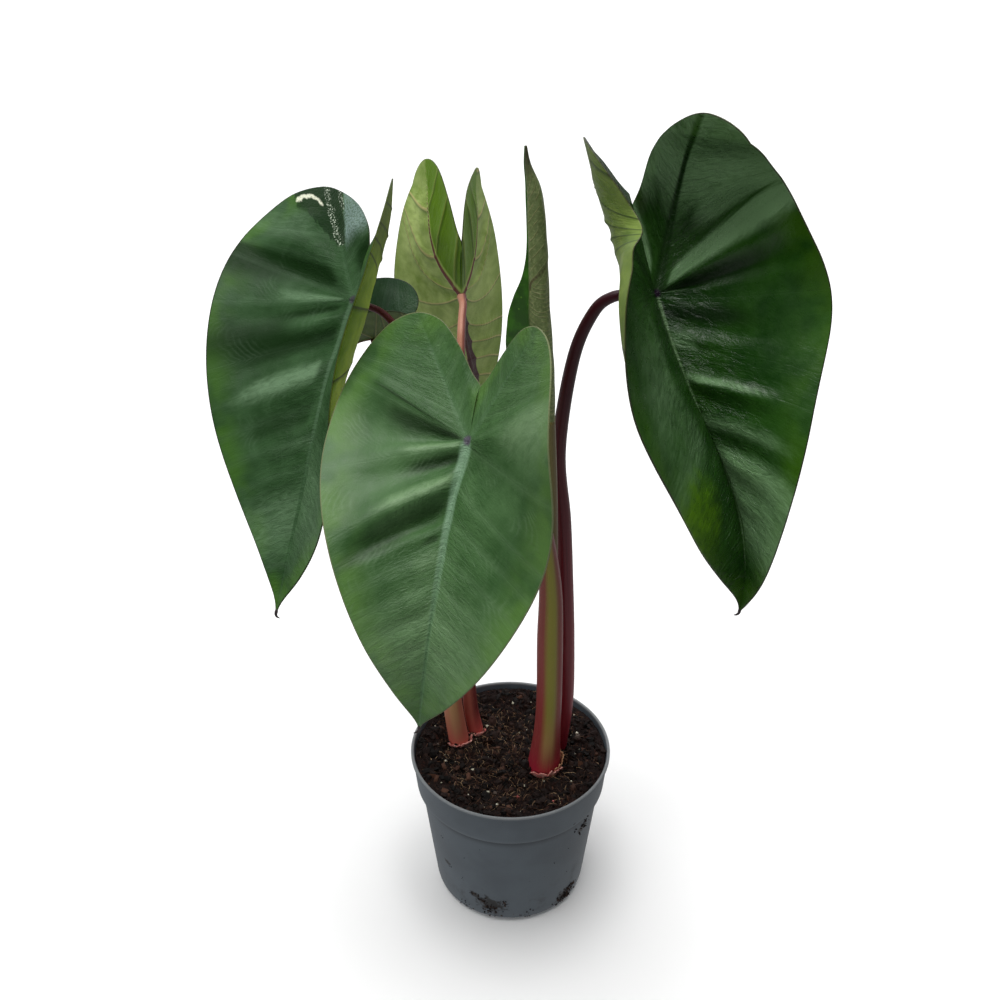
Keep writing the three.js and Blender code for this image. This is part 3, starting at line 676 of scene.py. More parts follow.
def wetted(finish, colour, part):
    """The left leaf's wet patch, its light painted in: a dark wedge that stands for the film's dark
    reflection, rows of painted glints on drops along its sides, a thin painted sheen beside it, a pale
    crescent of painted glare over a dark one, and a coat over the wedge."""
    flat = part["flat"]
    x, y, _ = finish.split(flat)
    top = 1 - part["under"]
    off_x, off_y = x - WET_POINT[0], y - WET_POINT[1]
    down = off_x * WET_TOWARDS[0] + off_y * WET_TOWARDS[1]
    aside = off_x * WET_TOWARDS[1] - off_y * WET_TOWARDS[0]
    jagged = finish.noise(finish.join(aside * 0.8, down * 0.25), 1.6, 4, 0.6) - 0.5
    fine = finish.noise(flat, 1.1, 3, 0.7)
    outer = aside * -1 - down * 0.3
    sheen = outer.ease(1, 4) * down.ease(-6, 6) * (1 - (outer + fine * 6).ease(22, 34)) * top
    width = down * 0.32 + 1.5 + jagged * 9
    wedge = (1 - (abs(aside) - width).ease(-0.8, 0.8)) * (down + jagged * 8).ease(0, 2) * top
    # Painted glints: pale specks on drops in rows along the wedge's sides.
    painted_glints = []
    for shift, reach in ((-1.0, 1.6), (7.0, 1.0)):
        off_line = abs(aside + shift + jagged * 7 + down * 0.06)
        share = (1 - off_line.ease(reach * 0.4, reach * 1.4)) * fine.ease(0.52, 0.6) * wedge
        painted_glints.append((share * 0.9, (206, 218, 196)))
    glare_x = x - GLARE_AT[0]
    tilted = (y - GLARE_AT[1]) - glare_x * 0.17
    far = finish.length(finish.join(glare_x / 11.5, tilted / 5.2)) + jagged * 0.5
    within = finish.length(finish.join((glare_x - 1.6) / 10.4, (tilted - 1.7) / 5.0))
    within = 1 - (within + jagged * 0.7).ease(0.85, 1.05)
    below = tilted + glare_x * 0.15 + jagged * 2
    glare = (1 - far.ease(0.85, 1.0)) * (1 - below.ease(-0.4, 0.5)) * (1 - within) * top
    colour = finish.layers(
        colour,
        (part["under"] * (1 - y.ease(-25, 0)) * 0.6, (58, 70, 36)),
        (sheen * (0.3 + fine.ease(0.42, 0.54) * 0.5), (128, 150, 144)),
        # painted reflection: the wedge's dark green stands for the wet film mirroring something dark
        (wedge * 0.95, (12, 42, 8)),
        *painted_glints,
        (within * (1 - tilted.ease(3, 6)) * top * 0.85, (20, 48, 12)),
        (glare * (0.55 + fine.ease(0.36, 0.5) * 0.42), (226, 228, 204)),
    )
    return colour, wedge * 0.2


def leaf_finish(name, look):
    """A two sided leaf, whose veins and ribs come from the leaf's own fields: place among the
    veins, distance between them in mm, and distances from the ribs and the rim."""
    finish = Finish("leaf_" + name, look["shine"], **{"Coat Roughness": 0.08})
    part = {key: finish.field(key) for key in LEAF_FIELDS}
    flat = part["flat"] = finish.field("flat", "Vector")
    veins, spread, away, under = part["veins"], part["spread"], part["away"], part["under"]
    length = BLADES[name]["length"]

    part["gap"] = abs((veins + 0.5).fraction() - 0.5) * spread
    line = part["line"] = 1 - part["gap"].ease(0.15, 0.6)
    part["cloud"] = finish.noise(flat, 34, 2).ease(0.32, 0.68)
    part["mottle"] = finish.noise(flat, 7, 4).ease(0.3, 0.7)
    strand = part["strand"] = finish.noise(finish.join(veins * 5.0, away * 9.0), 1.0, 3, 0.6, 0.4)
    ragged = part["ragged"] = finish.noise(finish.join(veins * 7.0, away * 26.0), 1.0, 4, 0.65, 0.8)
    # The share of painted shade, where the painted light falls below 0.
    part["hollowed"] = (part["painted_light"] * -1.0).ease(0.0, 1.0)
    bow = (veins.fraction() - 0.5) * spread
    ripple = (away * length + bow * bow * 0.07) / 3.4 + finish.noise(flat, 9, 2) * 2.4
    arc = (ripple.fraction() - 0.5) * (ripple.fraction() - 0.5) * 4
    arc = part["arc"] = arc * finish.noise(flat, 22, 2).ease(0.5, 0.7) * away.ease(0.04, 0.12)

    colour = finish.mix(under, leaf_upper(finish, look, part, length), leaf_lower(finish, look, part, name))
    grain = finish.noise(flat, 0.7, 2)
    wrinkle = finish.noise(finish.join(veins * 9.0, away * 34.0), 1.0, 2, 0.5, 0.6)
    crinkle = (ragged - 0.5) * (1 - away.ease(0.02, 0.3)) * look["crinkle"]
    height = strand * 0.5 + wrinkle * 0.3 + grain * 0.1 + arc * 0.07 + crinkle
    height = height - line * (1 - under * 2) * 0.06
    gloss = look["roughness"] + (finish.noise(flat, 3.5, 3) - 0.5) * 0.22 + under * 0.14
    gloss = gloss + part["hollowed"] * 0.12
    coat = 0.0
    if name == "right":
        colour = yellowed(finish, colour, part)
    if name == "left":
        colour, coat = wetted(finish, colour, part)
    return finish.wear(colour, gloss, height, 0.45, coat)


# Leaves

def blade_frame(blade):
    """The blade's directions at its stalk: along the midrib, up from its face and to its right."""
    heading, dip, roll = np.radians([blade["heading"], blade["dip"], blade["roll"]])
    along = np.array([np.sin(heading) * np.cos(dip), -np.cos(heading) * np.cos(dip), -np.sin(dip)])
    face = np.array([np.sin(heading) * np.sin(dip), -np.cos(heading) * np.sin(dip), np.cos(dip)])
    side = np.cross(face, along)
    up = face * np.cos(roll) + side * np.sin(roll)
    right = side * np.cos(roll) - face * np.sin(roll)
    return along, up, right


def blade_surface(blade, x, y):
    """The middle surface at x across and y along, in lengths from the stalk to the tip.
    The midrib is the sum of its directions from the stalk; each half leaves it at the fold
    angle and turns on by twice the curl for each length across, which is an arc:
    across (sin(fold+ka) - sin fold)/k and lift (cos fold - cos(fold+ka))/k."""
    along, up, right = blade_frame(blade)

    def station(values, at):
        return np.radians(through(values, (at + 0.5) / 0.5))

    def course(at):
        """The midrib's direction and the angle by which it bends."""
        bend = station(blade["bend"], at)[..., None]
        sway = station(blade["sway"], at)[..., None]
        level = along * np.cos(bend) * np.cos(sway)
        return level - up * np.sin(bend) * np.cos(sway) + right * np.sin(sway), bend

    line = np.linspace(WALK_START, WALK_END, WALK_POINTS)
    steps, _ = course(line)
    walk = np.vstack([np.zeros(3), np.cumsum((steps[1:] + steps[:-1]) / 2 * (line[1] - line[0]), 0)])
    walk = walk - [np.interp(0, line, walk[:, k]) for k in range(3)]
    midrib = np.stack([np.interp(y, line, walk[:, k]) for k in range(3)], -1)

    tangent, bend = course(y)
    normal = up * np.cos(bend) + along * np.sin(bend)
    out = -np.cross(tangent, normal)
    left = x < 0
    fold = np.where(left, station(blade["fold"][0], y), station(blade["fold"][1], y))
    curl = 2 * np.where(left, station(blade["curl"][0], y), station(blade["curl"][1], y))
    curl = np.where(np.abs(curl) < LEAST_CURL, LEAST_CURL, curl)
    a = np.abs(x)
    across = (np.sin(fold + curl * a) - np.sin(fold)) / curl * np.sign(x)
    lift = (np.cos(fold) - np.cos(fold + curl * a)) / curl
    return (midrib + out * across[..., None] + normal * lift[..., None]) * blade["length"] + blade["at"]


# The part of the midrib that is walked in small steps, in lengths from the stalk to the tip.
WALK_START = -0.9
WALK_END = 1.1
WALK_POINTS = 401
LEAST_CURL = 1e-4

# The side veins by their number: where on the spine each starts and how far it fans out. From
# -1 to 0 they all start at the stalk. Numbers grow towards the tip and fall towards the lobe.
VEIN_NUMBER = (-9, -3.5, -1, 0, 1, 3, 12)
VEIN_START = (-0.96, -0.3, 0, 0, 0.12, 0.34, 1.2)
VEIN_FAN = (-0.3, -0.3, -1, 0, 0.3, 0.2, 0.1)
VEIN_HALVINGS = 24
USUAL_GAP = 0.12
USUAL_LENGTH = 170

# Each rib's thickness in mm on a leaf of usual length: what it loses on its way from the stalk,
# and what is left at its end.
MIDRIB = (2.3, 0.35)
COSTA = (1.6, 0.3)

# How much of that stands out below and sinks in above, and the side veins' height and width.
RIDGE_SHARE = 0.75
GROOVE_SHARE = 0.18
SIDE_RIDGE = 0.32
SIDE_WIDTH = 0.9

# Makes the outline's points stand closer together near the tip and the notch.
CROWDING = 0.13

# The length of a leaf whose creases have their own height, and the height and size in mm of its
# uneven patches.
CREASED_LENGTH = 150
UNEVEN = ((0.8, 26), (0.25, 9))


def vein_line(number, w, fanned):
    """Where a side vein stands along the spine's opening at the distance w off the spine."""
    start = np.interp(number, VEIN_NUMBER, VEIN_START)
    return start * (1 + 0.9 * w * w) + np.interp(number, VEIN_NUMBER, VEIN_FAN) * w * fanned


def vein_fields(blade, x, y):
    """Where a point of the flat leaf lies among the veins. The spine runs up the costa and down
    the midrib; q is the distance along its opening and w the distance off it. The vein through
    the point is found by halving the range of numbers until its line meets q."""
    left = x < 0
    a = np.abs(x) / np.where(left, *blade["width"])
    b = np.where(y < 0, y / np.where(left, *blade["lobe"]), y)
    costa = math.radians(COSTA_ANGLE)
    half = costa / 2
    reach = np.hypot(a, b)
    angle = np.arctan2(a, b)
    angle = angle + math.radians(blade.get("bowed", 0)) * np.sin(angle) * (1 - ease(reach, 0.1, 0.6))
    beyond = angle > costa
    angle = np.where(beyond, 2 * costa - angle, angle)
    q = reach * np.sin(half - angle)
    w = np.maximum(reach * np.cos(half - angle) - np.abs(q) / np.tan(half), 0)
    fanned = blade.get("fanned", 1)
    low = np.full_like(q, VEIN_NUMBER[0])
    high = np.full_like(q, VEIN_NUMBER[-1])
    for _ in range(VEIN_HALVINGS):
        place = (low + high) / 2
        below = vein_line(place, w, fanned) < q
        low = np.where(below, place, low)
        high = np.where(below, high, place)
    number = (place - blade["phase"]) * USUAL_GAP / blade["gap"]
    step = vein_line(place + 0.05, w, fanned) - vein_line(place - 0.05, w, fanned)
    spread = blade["length"] * np.maximum(step / 0.1, 0.02) * blade["gap"] / USUAL_GAP
    to_midrib = np.where(angle < math.pi / 2, reach * np.sin(angle), reach)
    to_costa = np.where(costa - angle < math.pi / 2, reach * np.sin(costa - angle), reach)
    on_midrib = to_midrib < to_costa
    midrib = MIDRIB[0] * np.clip(1 - reach, 0, 1) + MIDRIB[1]
    thick = np.where(on_midrib, midrib, COSTA[0] * np.clip(1 - 2 * reach, 0, 1) + COSTA[1])
    thick = thick * blade["length"] / USUAL_LENGTH
    rib = np.minimum(to_midrib, to_costa) * blade["length"] / thick
    main = 1 - ease(to_midrib - to_costa, -0.01, 0.01)
    inner = ease(np.where(beyond, 1.0, -1.0) * to_costa, 0.0, 0.006)
    fields = dict(veins=number, spread=spread, away=w, rib=rib, main=main, inner=inner)
    return fields, place, thick


def blade_outline(blade):
    """The outline of the flat leaf from the tip round the right lobe to the notch and back."""
    count = LEAF_ROUND // 2
    t = np.linspace(0, 1, count + 1)
    t = t - CROWDING * np.sin(2 * np.pi * t) / np.pi
    sides = []
    for hand, k in ((1, 1), (-1, 0)):
        form = blade.get("outline", (HALF_OUTLINE, HALF_OUTLINE))[k]
        across, along = through(form, t * (len(form) - 1)).T
        along = np.where(along < 0, along * blade["lobe"][k], along)
        sides.append(np.stack([across * blade["width"][k] * hand, along], -1))
    return np.vstack([sides[0], sides[1][1:-1][::-1]])


def relief(blade, x, y, share, fields, place, seed):
    """How far the blade stands off its smooth form, in mm. The large creases run along the side
    veins, start a little way off the midrib and fade outwards; between side veins it swells by
    |sin(pi number)|^0.8; and it is uneven all over."""
    left = x < 0
    w = fields["away"]
    number = fields["veins"]
    size = blade["length"]
    heights = []
    for half in blade["creases"]:
        at, height, reach = np.array(half, float).T
        i = np.clip(np.searchsorted(at, place) - 1, 0, len(at) - 2)
        s = ease((place - at[i]) / (at[i + 1] - at[i]), 0, 1)
        far = reach[i] + (reach[i + 1] - reach[i]) * s
        heights.append((height[i] + (height[i + 1] - height[i]) * s) * np.exp(-((w / far / 1.7) ** 2)))
    folds = np.where(left, *heights) * size / CREASED_LENGTH
    pleat = np.where(left, *blade["pleat"])
    swell = (np.abs(np.sin(np.pi * number)) ** 0.8 - 0.45) * np.exp(-((w / 0.32) ** 2))
    varied = 1 + 0.4 * rough(number * 0.9, w * 2, 1.0, seed + 3)
    uneven = sum(high * rough(x * size, y * size, wide, seed + k) for k, (high, wide) in enumerate(UNEVEN))
    start = 1 - np.exp(-((w / np.where(place > 0.1, 0.03, 0.06)) ** 2))
    edge = 1 - 0.95 * ease(share, 0.7, 1.0)
    height = ((folds + pleat * swell) * varied * start + uneven * ease(share, 0, 0.15)) * edge
    for hand, low, high, lift in blade.get("rolled", ()):
        here = ease(y, low - 0.08, low + 0.08) * (1 - ease(y, high - 0.12, high + 0.12)) * (x * hand > 0)
        height = height + lift * here * ease(share, 0.88, 1.02)
    return height


def waxed(blade, x, fields, place):
    """Painted light: pale painted sheen where the sum is above 0 and painted shade where it is below;
    the sum of strength times exp(-((place-at)/width)^2) over the bands, each within its stretch away
    from the midrib."""
    w = fields["away"]
    total = np.zeros_like(w)
    for hand, bands in zip((-1, 1), blade.get("painted_light", ((), ()))):
        for at, width, start, end, strength in bands:
            within = ease(w, start * 0.5, start * 1.4 + 0.01) * (1 - ease(w, end * 0.5, end))
            total += np.where(x * hand > 0, strength * within * np.exp(-(((place - at) / width) ** 2)), 0)
    return total


def leaf(name, seed):
    """A blade: rings of points shrunk from its outline, lifted by its relief, thickened by its
    ribs and side veins below, and closed round the rim."""
    blade = BLADES[name]
    outline = blade_outline(blade)
    n = len(outline)
    shares = np.arange(1, LEAF_RINGS + 1) / LEAF_RINGS
    flat = np.vstack([[[0, 0]], (shares[:, None, None] * outline).reshape(-1, 2)])
    share = np.concatenate([[0], np.repeat(shares, n)])
    x, y = flat.T
    middle = blade_surface(blade, x, y)
    rings = np.arange(n) + 1
    faces = [fan(0, rings), grid_faces(LEAF_RINGS, n, 1)]
    faces[1] = faces[1][:, [0, 3, 2, 1]]
    triangles = np.vstack([faces[0], faces[1][:, :3], faces[1][:, [0, 2, 3]]])
    fields, place, thick = vein_fields(blade, x, y)
    # Painted light: bands of painted sheen, and of painted shade below 0.
    fields["painted_light"] = waxed(blade, x, fields, place)
    normal = corner_normals(middle, triangles)
    middle = middle + normal * relief(blade, x, y, share, fields, place, seed)[:, None]
    ridge = thick * RIDGE_SHARE * np.exp(-(fields["rib"] ** 2) * 0.9) * ease(share, 0, 0.02)
    groove = thick * GROOVE_SHARE * np.exp(-(fields["rib"] ** 2))
    off_vein = np.abs((fields["veins"] + 0.5) % 1 - 0.5) * fields["spread"]
    side_ridge = SIDE_RIDGE * np.exp(-((off_vein / SIDE_WIDTH) ** 2)) * (1 - ease(share, 0.8, 1))
    top = middle + normal * (LEAF_THICKNESS / 2 - groove)[:, None]
    bottom = middle - normal * (LEAF_THICKNESS / 2 + ridge + side_ridge)[:, None]
    m = len(middle)
    outer = 1 + (LEAF_RINGS - 1) * n + np.arange(n)
    after = np.roll(outer, -1)
    rim_faces = np.stack([outer, outer + m, after + m, after], -1)
    back = [block[:, ::-1] + m for block in faces]
    span = np.linalg.norm(outline, axis=1) * blade["length"]
    rim = (1 - share) * np.concatenate([[span.mean()], np.tile(span, LEAF_RINGS)]) * 0.8
    both = {key: np.tile(values, 2) for key, values in fields.items()}
    both["rim"] = np.tile(rim, 2)
    both["flat"] = np.tile(np.column_stack([flat * blade["length"], np.zeros(m)]), (2, 1))
    both["under"] = np.repeat([0.0, 1.0], m)
    piece(
        "leaf_" + name,
        np.vstack([top, bottom]),
        [*faces, rim_faces, *back],
        leaf_finish(name, LEAF_LOOKS[name]),
        SLOTS["blade_" + name],
        ["blade_" + name],
        both,
    )


# Stalks and tips

STALK_STEPS = 10
STALK_SIDES = 40
ROLLED_STEPS = 12
ROLLED_SIDES = 32
TIP_STEPS = 6
TIP_SIDES = 12

# A drip tip's distances past the blade's end, and its radius at each.
TIP_RUN = (-2.4, -0.8, 0.8, 2.4, 3.8)
TIP_RADIUS = (0.5, 0.85, 0.7, 0.5, 0.18)


def tube(rows, steps, sides, squash=None):
    """A tapering tube: circles of the curve's radius, square to the curve through the rows,
    with one direction carried along it. Squash scales each point by its row and angle."""
    count = (len(rows) - 1) * steps
    curve = through(rows, np.arange(count + 1) / steps)
    centre, radius = curve[:, :3], curve[:, 3]
    tangent = unit(np.gradient(centre, axis=0))
    reference = np.empty_like(tangent)
    carried = np.array([1.0, 0, 0])
    for i, direction in enumerate(tangent):
        carried = carried - direction * (carried @ direction)
        carried = carried / np.linalg.norm(carried)
        reference[i] = carried
    other = np.cross(tangent, reference)
    angle = circle(sides)
    size = radius[:, None] * (1 if squash is None else squash(centre[:, 2:3], angle[None, :]))
    ring = (
        centre[:, None]
        + reference[:, None] * (np.cos(angle)[None, :] * size)[..., None]
        + other[:, None] * (np.sin(angle)[None, :] * size)[..., None]
    )
    turn = np.concatenate([np.tile(angle, count + 1), [0, 0]])
    along = np.concatenate([np.repeat(np.linspace(0, 1, count + 1), sides), [0, 1]])
    fields = {"facing": -np.sin(turn), "sideways": np.cos(turn), "along": along}
    return *closed(ring, [centre[0], centre[-1]]), fields


def stalk_rows(name):
    """The rows of a stalk with its straight foot in the peat and its end square to the blade,
    given as distances under the blade and shares of the stalk's last radius."""
    rows = STALKS[name]
    x, y, z, foot = rows[0]
    _, up, _ = blade_frame(BLADES[name])
    ends = [
        (*(BLADES[name]["at"] - up * below), rows[-1][3] * share)
        for below, share in ((7, 1.0), (3, 1.05), (0.2, 1.25))
    ]
    return [(x, y, STALK_FOOT, foot), (x, y, (STALK_FOOT + z) / 2, foot), *rows, *ends]


# How the stalks look, in the order of STALKS with the rolled leaf's last: the colours low and high
# on it, the back stalk's high one lightened in part as painted highlight; of the stripe, partly its own
# colour and partly painted highlight, and of its lower end; of the foot and of the painted shade on
# one side; and then how strongly the stripe (amount) and the painted shade (dusk) show.
STALK_LOOKS = columns(
    [*STALKS, "rolled"],
    low=((150, 46, 56), (146, 58, 58), (196, 128, 100), (176, 92, 80), (140, 62, 54), (104, 80, 50)),
    high=((50, 4, 18), (112, 60, 42), (84, 20, 28), (196, 136, 112), (88, 22, 30), (112, 100, 62)),
    stripe=((70, 12, 26), (136, 132, 46), (184, 158, 100), (186, 124, 102), (130, 80, 60), (110, 104, 56)),
    blush=((130, 44, 50), (178, 138, 92), (200, 150, 110), (196, 110, 96), (150, 76, 66), (104, 80, 50)),
    foot=((140, 30, 48), (160, 34, 56), (206, 104, 92), (200, 90, 84), (170, 66, 62), (104, 80, 50)),
    shade=((60, 10, 22), (96, 26, 32), (170, 92, 80), (96, 28, 34), (80, 20, 28), (84, 70, 44)),
    amount=(0.3, 0.95, 0.75, 0.4, 0.4, 0.5),
    dusk=(0.2, 0.4, 0.4, 0.85, 0.5, 0.3),
)


def stalk_finish(name, look):
    """A fleshy stalk: its colour runs from foot to top, with a stripe towards the viewer that is partly
    its own colour and partly painted highlight, painted shade on one side and fine streaks along it.
    The left one's top has neither stripe nor shade."""
    finish = Finish("stalk_" + name, 0.32)
    x, y, z = finish.split(finish.place())
    facing = finish.field("facing")
    sideways = finish.field("sideways")
    streak = finish.noise(finish.join(sideways * 6.0, facing * 6.0, z * 0.02), 1.0, 4)
    fleck = finish.noise(finish.join(x * 2.0, y * 2.0, z * 0.5), 1.0, 2)
    right = name == "right"
    climb = (finish.field("along") + (streak - 0.5) * 0.25).ease(0.15, 0.6 if right else 0.75)
    # Painted shade on one side, and a stripe turned towards the viewer that is partly painted highlight.
    dusk = (sideways + (streak - 0.5) * 0.2).ease(0.05, 0.4)
    band = (1 - abs(sideways - 0.1 + (streak - 0.5) * 0.16).ease(0.2, 0.74)) * facing.ease(0.0, 0.3)
    if name == "left":
        dusk, band = (share * (1 - z.ease(200, 310)) for share in (dusk, band))
    colour = finish.layers(
        finish.mix(climb, look["low"], look["high"]),
        (dusk * look["dusk"], look["shade"]),
        (1 - (z + streak * 14).ease(100, 126), look["foot"]),
        (
            band * look["amount"] * (z + streak * 10).ease(98, 126),
            finish.mix(z.ease(104, 150), look["blush"], look["stripe"]),
        ),
        (fleck.ease(0.55, 0.8) * (0.03 if right else 0.16), (190, 150, 120)),
    )
    return finish.wear(colour, 0.36 + (streak - 0.5) * 0.2, streak * 0.8 + fleck * 0.2, 0.25)


def drip_tip(name, turned):
    """The thin dried tail in which a blade ends, an arc that goes on from the midrib."""
    blade = BLADES[name]
    line = blade_surface(blade, np.zeros(3), np.array([0.97, 0.995, 1.0]))
    ahead = unit(line[2] - line[1])
    aside = unit(np.array(turned, float) - ahead * (ahead @ turned))
    t = np.array(TIP_RUN)
    bend = np.clip(t, 0, None)[:, None]
    points = line[2] + ahead * (t[:, None] - 0.11 * bend**2) + aside * 0.17 * bend**2
    points, faces, _ = tube(np.column_stack([points, TIP_RADIUS]), TIP_STEPS, TIP_SIDES)
    finish = Finish("leaf_tip", **{"Base Color": (44, 34, 36), "Roughness": 0.6})
    piece("tip_" + name, points, faces, finish.material, SLOTS["blade_" + name])


def sheath_form(z, angle):
    """The front stalk's section: a lengthwise crease on its right and a flatter front."""
    crease = np.exp(-(((angle - 2 * np.pi * 0.86) / 0.16) ** 2)) * 0.07
    bulge = 0.03 * np.cos(2 * angle)
    return 1 + (bulge - crease) * (1 - ease(z, 225, 265))


def stalk(name, node, rows, steps=STALK_STEPS, sides=STALK_SIDES, squash=None):
    """A stalk that stands for the frame's node."""
    points, faces, fields = tube(rows, steps, sides, squash)
    finish = stalk_finish(name, STALK_LOOKS[name])
    piece("petiole_" + name, points, faces, finish, SLOTS[node], [node], fields)


# Rolled leaf

def rolled_finish():
    """The rolled leaf: olive brown, with pale veins that wind round it and a glossy green flap."""
    finish = Finish("leaf_rolled", 0.4)
    place = finish.place()
    _, _, z = finish.split(place)
    wind = finish.field("wind")
    flap = finish.field("flap")
    upper = z.ease(398, 412)
    cloud = finish.noise(place, 9, 4)
    slanted = abs((z * 0.2 - wind * 1.1 + cloud * 0.5).fraction() - 0.5)
    level = abs((z * 0.42 - (wind * 0.9).sine() * 0.9 + cloud * 0.6).fraction() - 0.5)
    line = (1 - slanted.ease(0.02, 0.12)) * upper + (1 - level.ease(0.03, 0.2)) * (1 - upper)
    line = line * (1 - flap) * finish.noise(place, 5, 2).ease(0.3, 0.6)
    speckle = finish.noise(place, 1.5, 3, 0.7)
    specks = (1 - finish.cells(place, 4.5).ease(0.05, 0.13)) * 0.8
    leafy = finish.mix(cloud.ease(0.4, 0.7), (40, 84, 14), (62, 122, 22))
    colour = finish.layers(
        finish.mix(cloud, (84, 98, 56), (128, 144, 92)),
        (speckle.ease(0.5, 0.66) * 0.4, (164, 170, 120)),
        ((1 - speckle.ease(0.34, 0.5)) * 0.3, (64, 66, 38)),
        (line * 0.55, (164, 162, 112)),
        (finish.field("seam") * 0.8, (86, 56, 40)),
        (z.ease(452, 468) * 0.8, (52, 46, 36)),
        (flap, finish.mix(specks, leafy, (100, 150, 50))),
    )
    return finish.wear(colour, 0.5 - flap * 0.14, line * 0.8 + cloud * 0.3, 0.35)


def rolled_leaf():
    """Sections up the roll: an almost closed circle, slightly spiral, whose end runs on into
    the flap and back along it. The overlapping edge steps in where it crosses the front."""
    steps, around, deep = 12, 64, 14
    count = (len(ROLLED_LEAF) - 1) * steps
    rows = through(ROLLED_LEAF, np.arange(count + 1) / steps)
    x, y, z, radius, flap = (column[:, None] for column in rows.T)
    flap = np.maximum(flap, 0.3)
    angle = np.radians(ROLL_START + ROLL_SWEEP * np.arange(around + 1) / around)[None, :]
    seam_angle = np.radians(360 - 175 * (1 - ease(z, 402, 421)) + 15)
    past = (angle - seam_angle + np.pi) % (2 * np.pi) - np.pi
    step_in = 0.09 * np.exp(-np.maximum(past, 0) * 1.4) * (past > 0)
    step_in = step_in * ease(z, 396, 402) * (1 - ease(z, 424, 430))
    uneven = 0.035 * np.sin(3 * angle + z * 0.11) + 0.02 * np.sin(5 * angle - z * 0.31)
    r = radius * (1 - step_in + uneven)
    roll = np.stack([x + r * np.cos(angle), y + r * np.sin(angle), z + 0 * angle], -1)
    direction = math.radians(FLAP_DIRECTION)
    out = np.array([math.cos(direction), math.sin(direction), 0])
    t = np.arange(1, deep + 1)[None, :, None] / deep
    lift = np.array([0, 1.0, 0]) * np.sin(t * 2.4) * 0.10
    outer = roll[:, -1:, :] + (out + lift) * flap[..., None] * t
    across = unit(roll[:, :1] - roll[:, -1:]) * np.minimum(FLAP_THICKNESS, radius * 0.4)[..., None]
    inner = (outer + across)[:, ::-1]
    sections = np.concatenate([roll, outer, inner], 1)
    points, faces = closed(sections, [sections[0].mean(0), sections[-1].mean(0)])
    wind = np.concatenate([angle[0], np.full(2 * deep, angle[0, -1])])
    on_flap = np.concatenate([np.zeros(around - 2), [0, 0.3, 0.8], np.ones(2 * deep)])
    seam = np.exp(-((past / 0.14) ** 2)) * ease(z, 400, 404) * (1 - ease(z, 420, 426))
    seam = np.concatenate([seam, np.zeros((count + 1, 2 * deep))], 1)
    fields = {
        "wind": np.concatenate([np.tile(wind, count + 1), [0, 0]]),
        "flap": np.concatenate([np.tile(on_flap, count + 1), [0, 0]]),
        "seam": np.concatenate([seam.ravel(), [0, 0]]),
    }
    piece("leaf_rolled", points, faces, rolled_finish(), "leaf_rolled", ["rolled_leaf"], fields)


# Pot

def rounded(profile, radius):
    """The profile with each corner cut back by the radius, or by less than half of its sides,
    and bridged by the curve a(1-t)^2 + 2bt(1-t) + ct^2."""
    profile = np.asarray(profile, float)
    out = [profile[:1]]
    t = np.linspace(0, 1, 6)[:, None]
    for before, corner, after in zip(profile[:-2], profile[1:-1], profile[2:]):
        cuts = []
        for other in (before, after):
            side = other - corner
            reach = np.linalg.norm(side)
            cuts.append(corner + side / reach * min(radius, reach * 0.45))
        out.append(cuts[0] * (1 - t) ** 2 + corner * 2 * t * (1 - t) + cuts[1] * t**2)
    out.append(profile[-1:])
    return np.vstack(out)


def lathe(profile, turns):
    """The profile's points, as radius and height, turned round Z. Its first and last point lie
    on the axis and become poles."""
    angle = circle(turns)
    r, z = profile[1:-1, 0:1], profile[1:-1, 1:2]
    rings = np.stack([r * np.cos(angle), r * np.sin(angle), z + 0 * angle], -1)
    return closed(rings, [[0, 0, profile[0, 1]], [0, 0, profile[-1, 1]]])


def pot_profile():
    """Radius and height from the middle underneath, up outside, over the lip and down inside."""
    inner = RIM_RADIUS - LIP_WIDTH
    return [
        (0, 0), (BASE_RADIUS, 0), (BASE_RADIUS + 2.5, 1), (FOOT_RADIUS - 0.8, 4), (FOOT_RADIUS, 8),
        (SHOULDER_RADIUS, BAND_BOTTOM - 2), (SHOULDER_RADIUS + 0.4, BAND_BOTTOM),
        (BAND_RADIUS, BAND_BOTTOM + 0.6), (RIM_RADIUS - 1, POT_HEIGHT - 2.6),
        (RIM_RADIUS, POT_HEIGHT - 2.2), (RIM_RADIUS, POT_HEIGHT - 0.5), (RIM_RADIUS - 0.5, POT_HEIGHT),
        (inner + 0.4, POT_HEIGHT), (inner, POT_HEIGHT - 0.5), (BAND_RADIUS - WALL, BAND_BOTTOM + 1),
        (SHOULDER_RADIUS - WALL, BAND_BOTTOM - 2), (FOOT_RADIUS - WALL, 8),
        (FOOT_RADIUS - WALL - 2, FLOOR), (0, FLOOR),
    ]


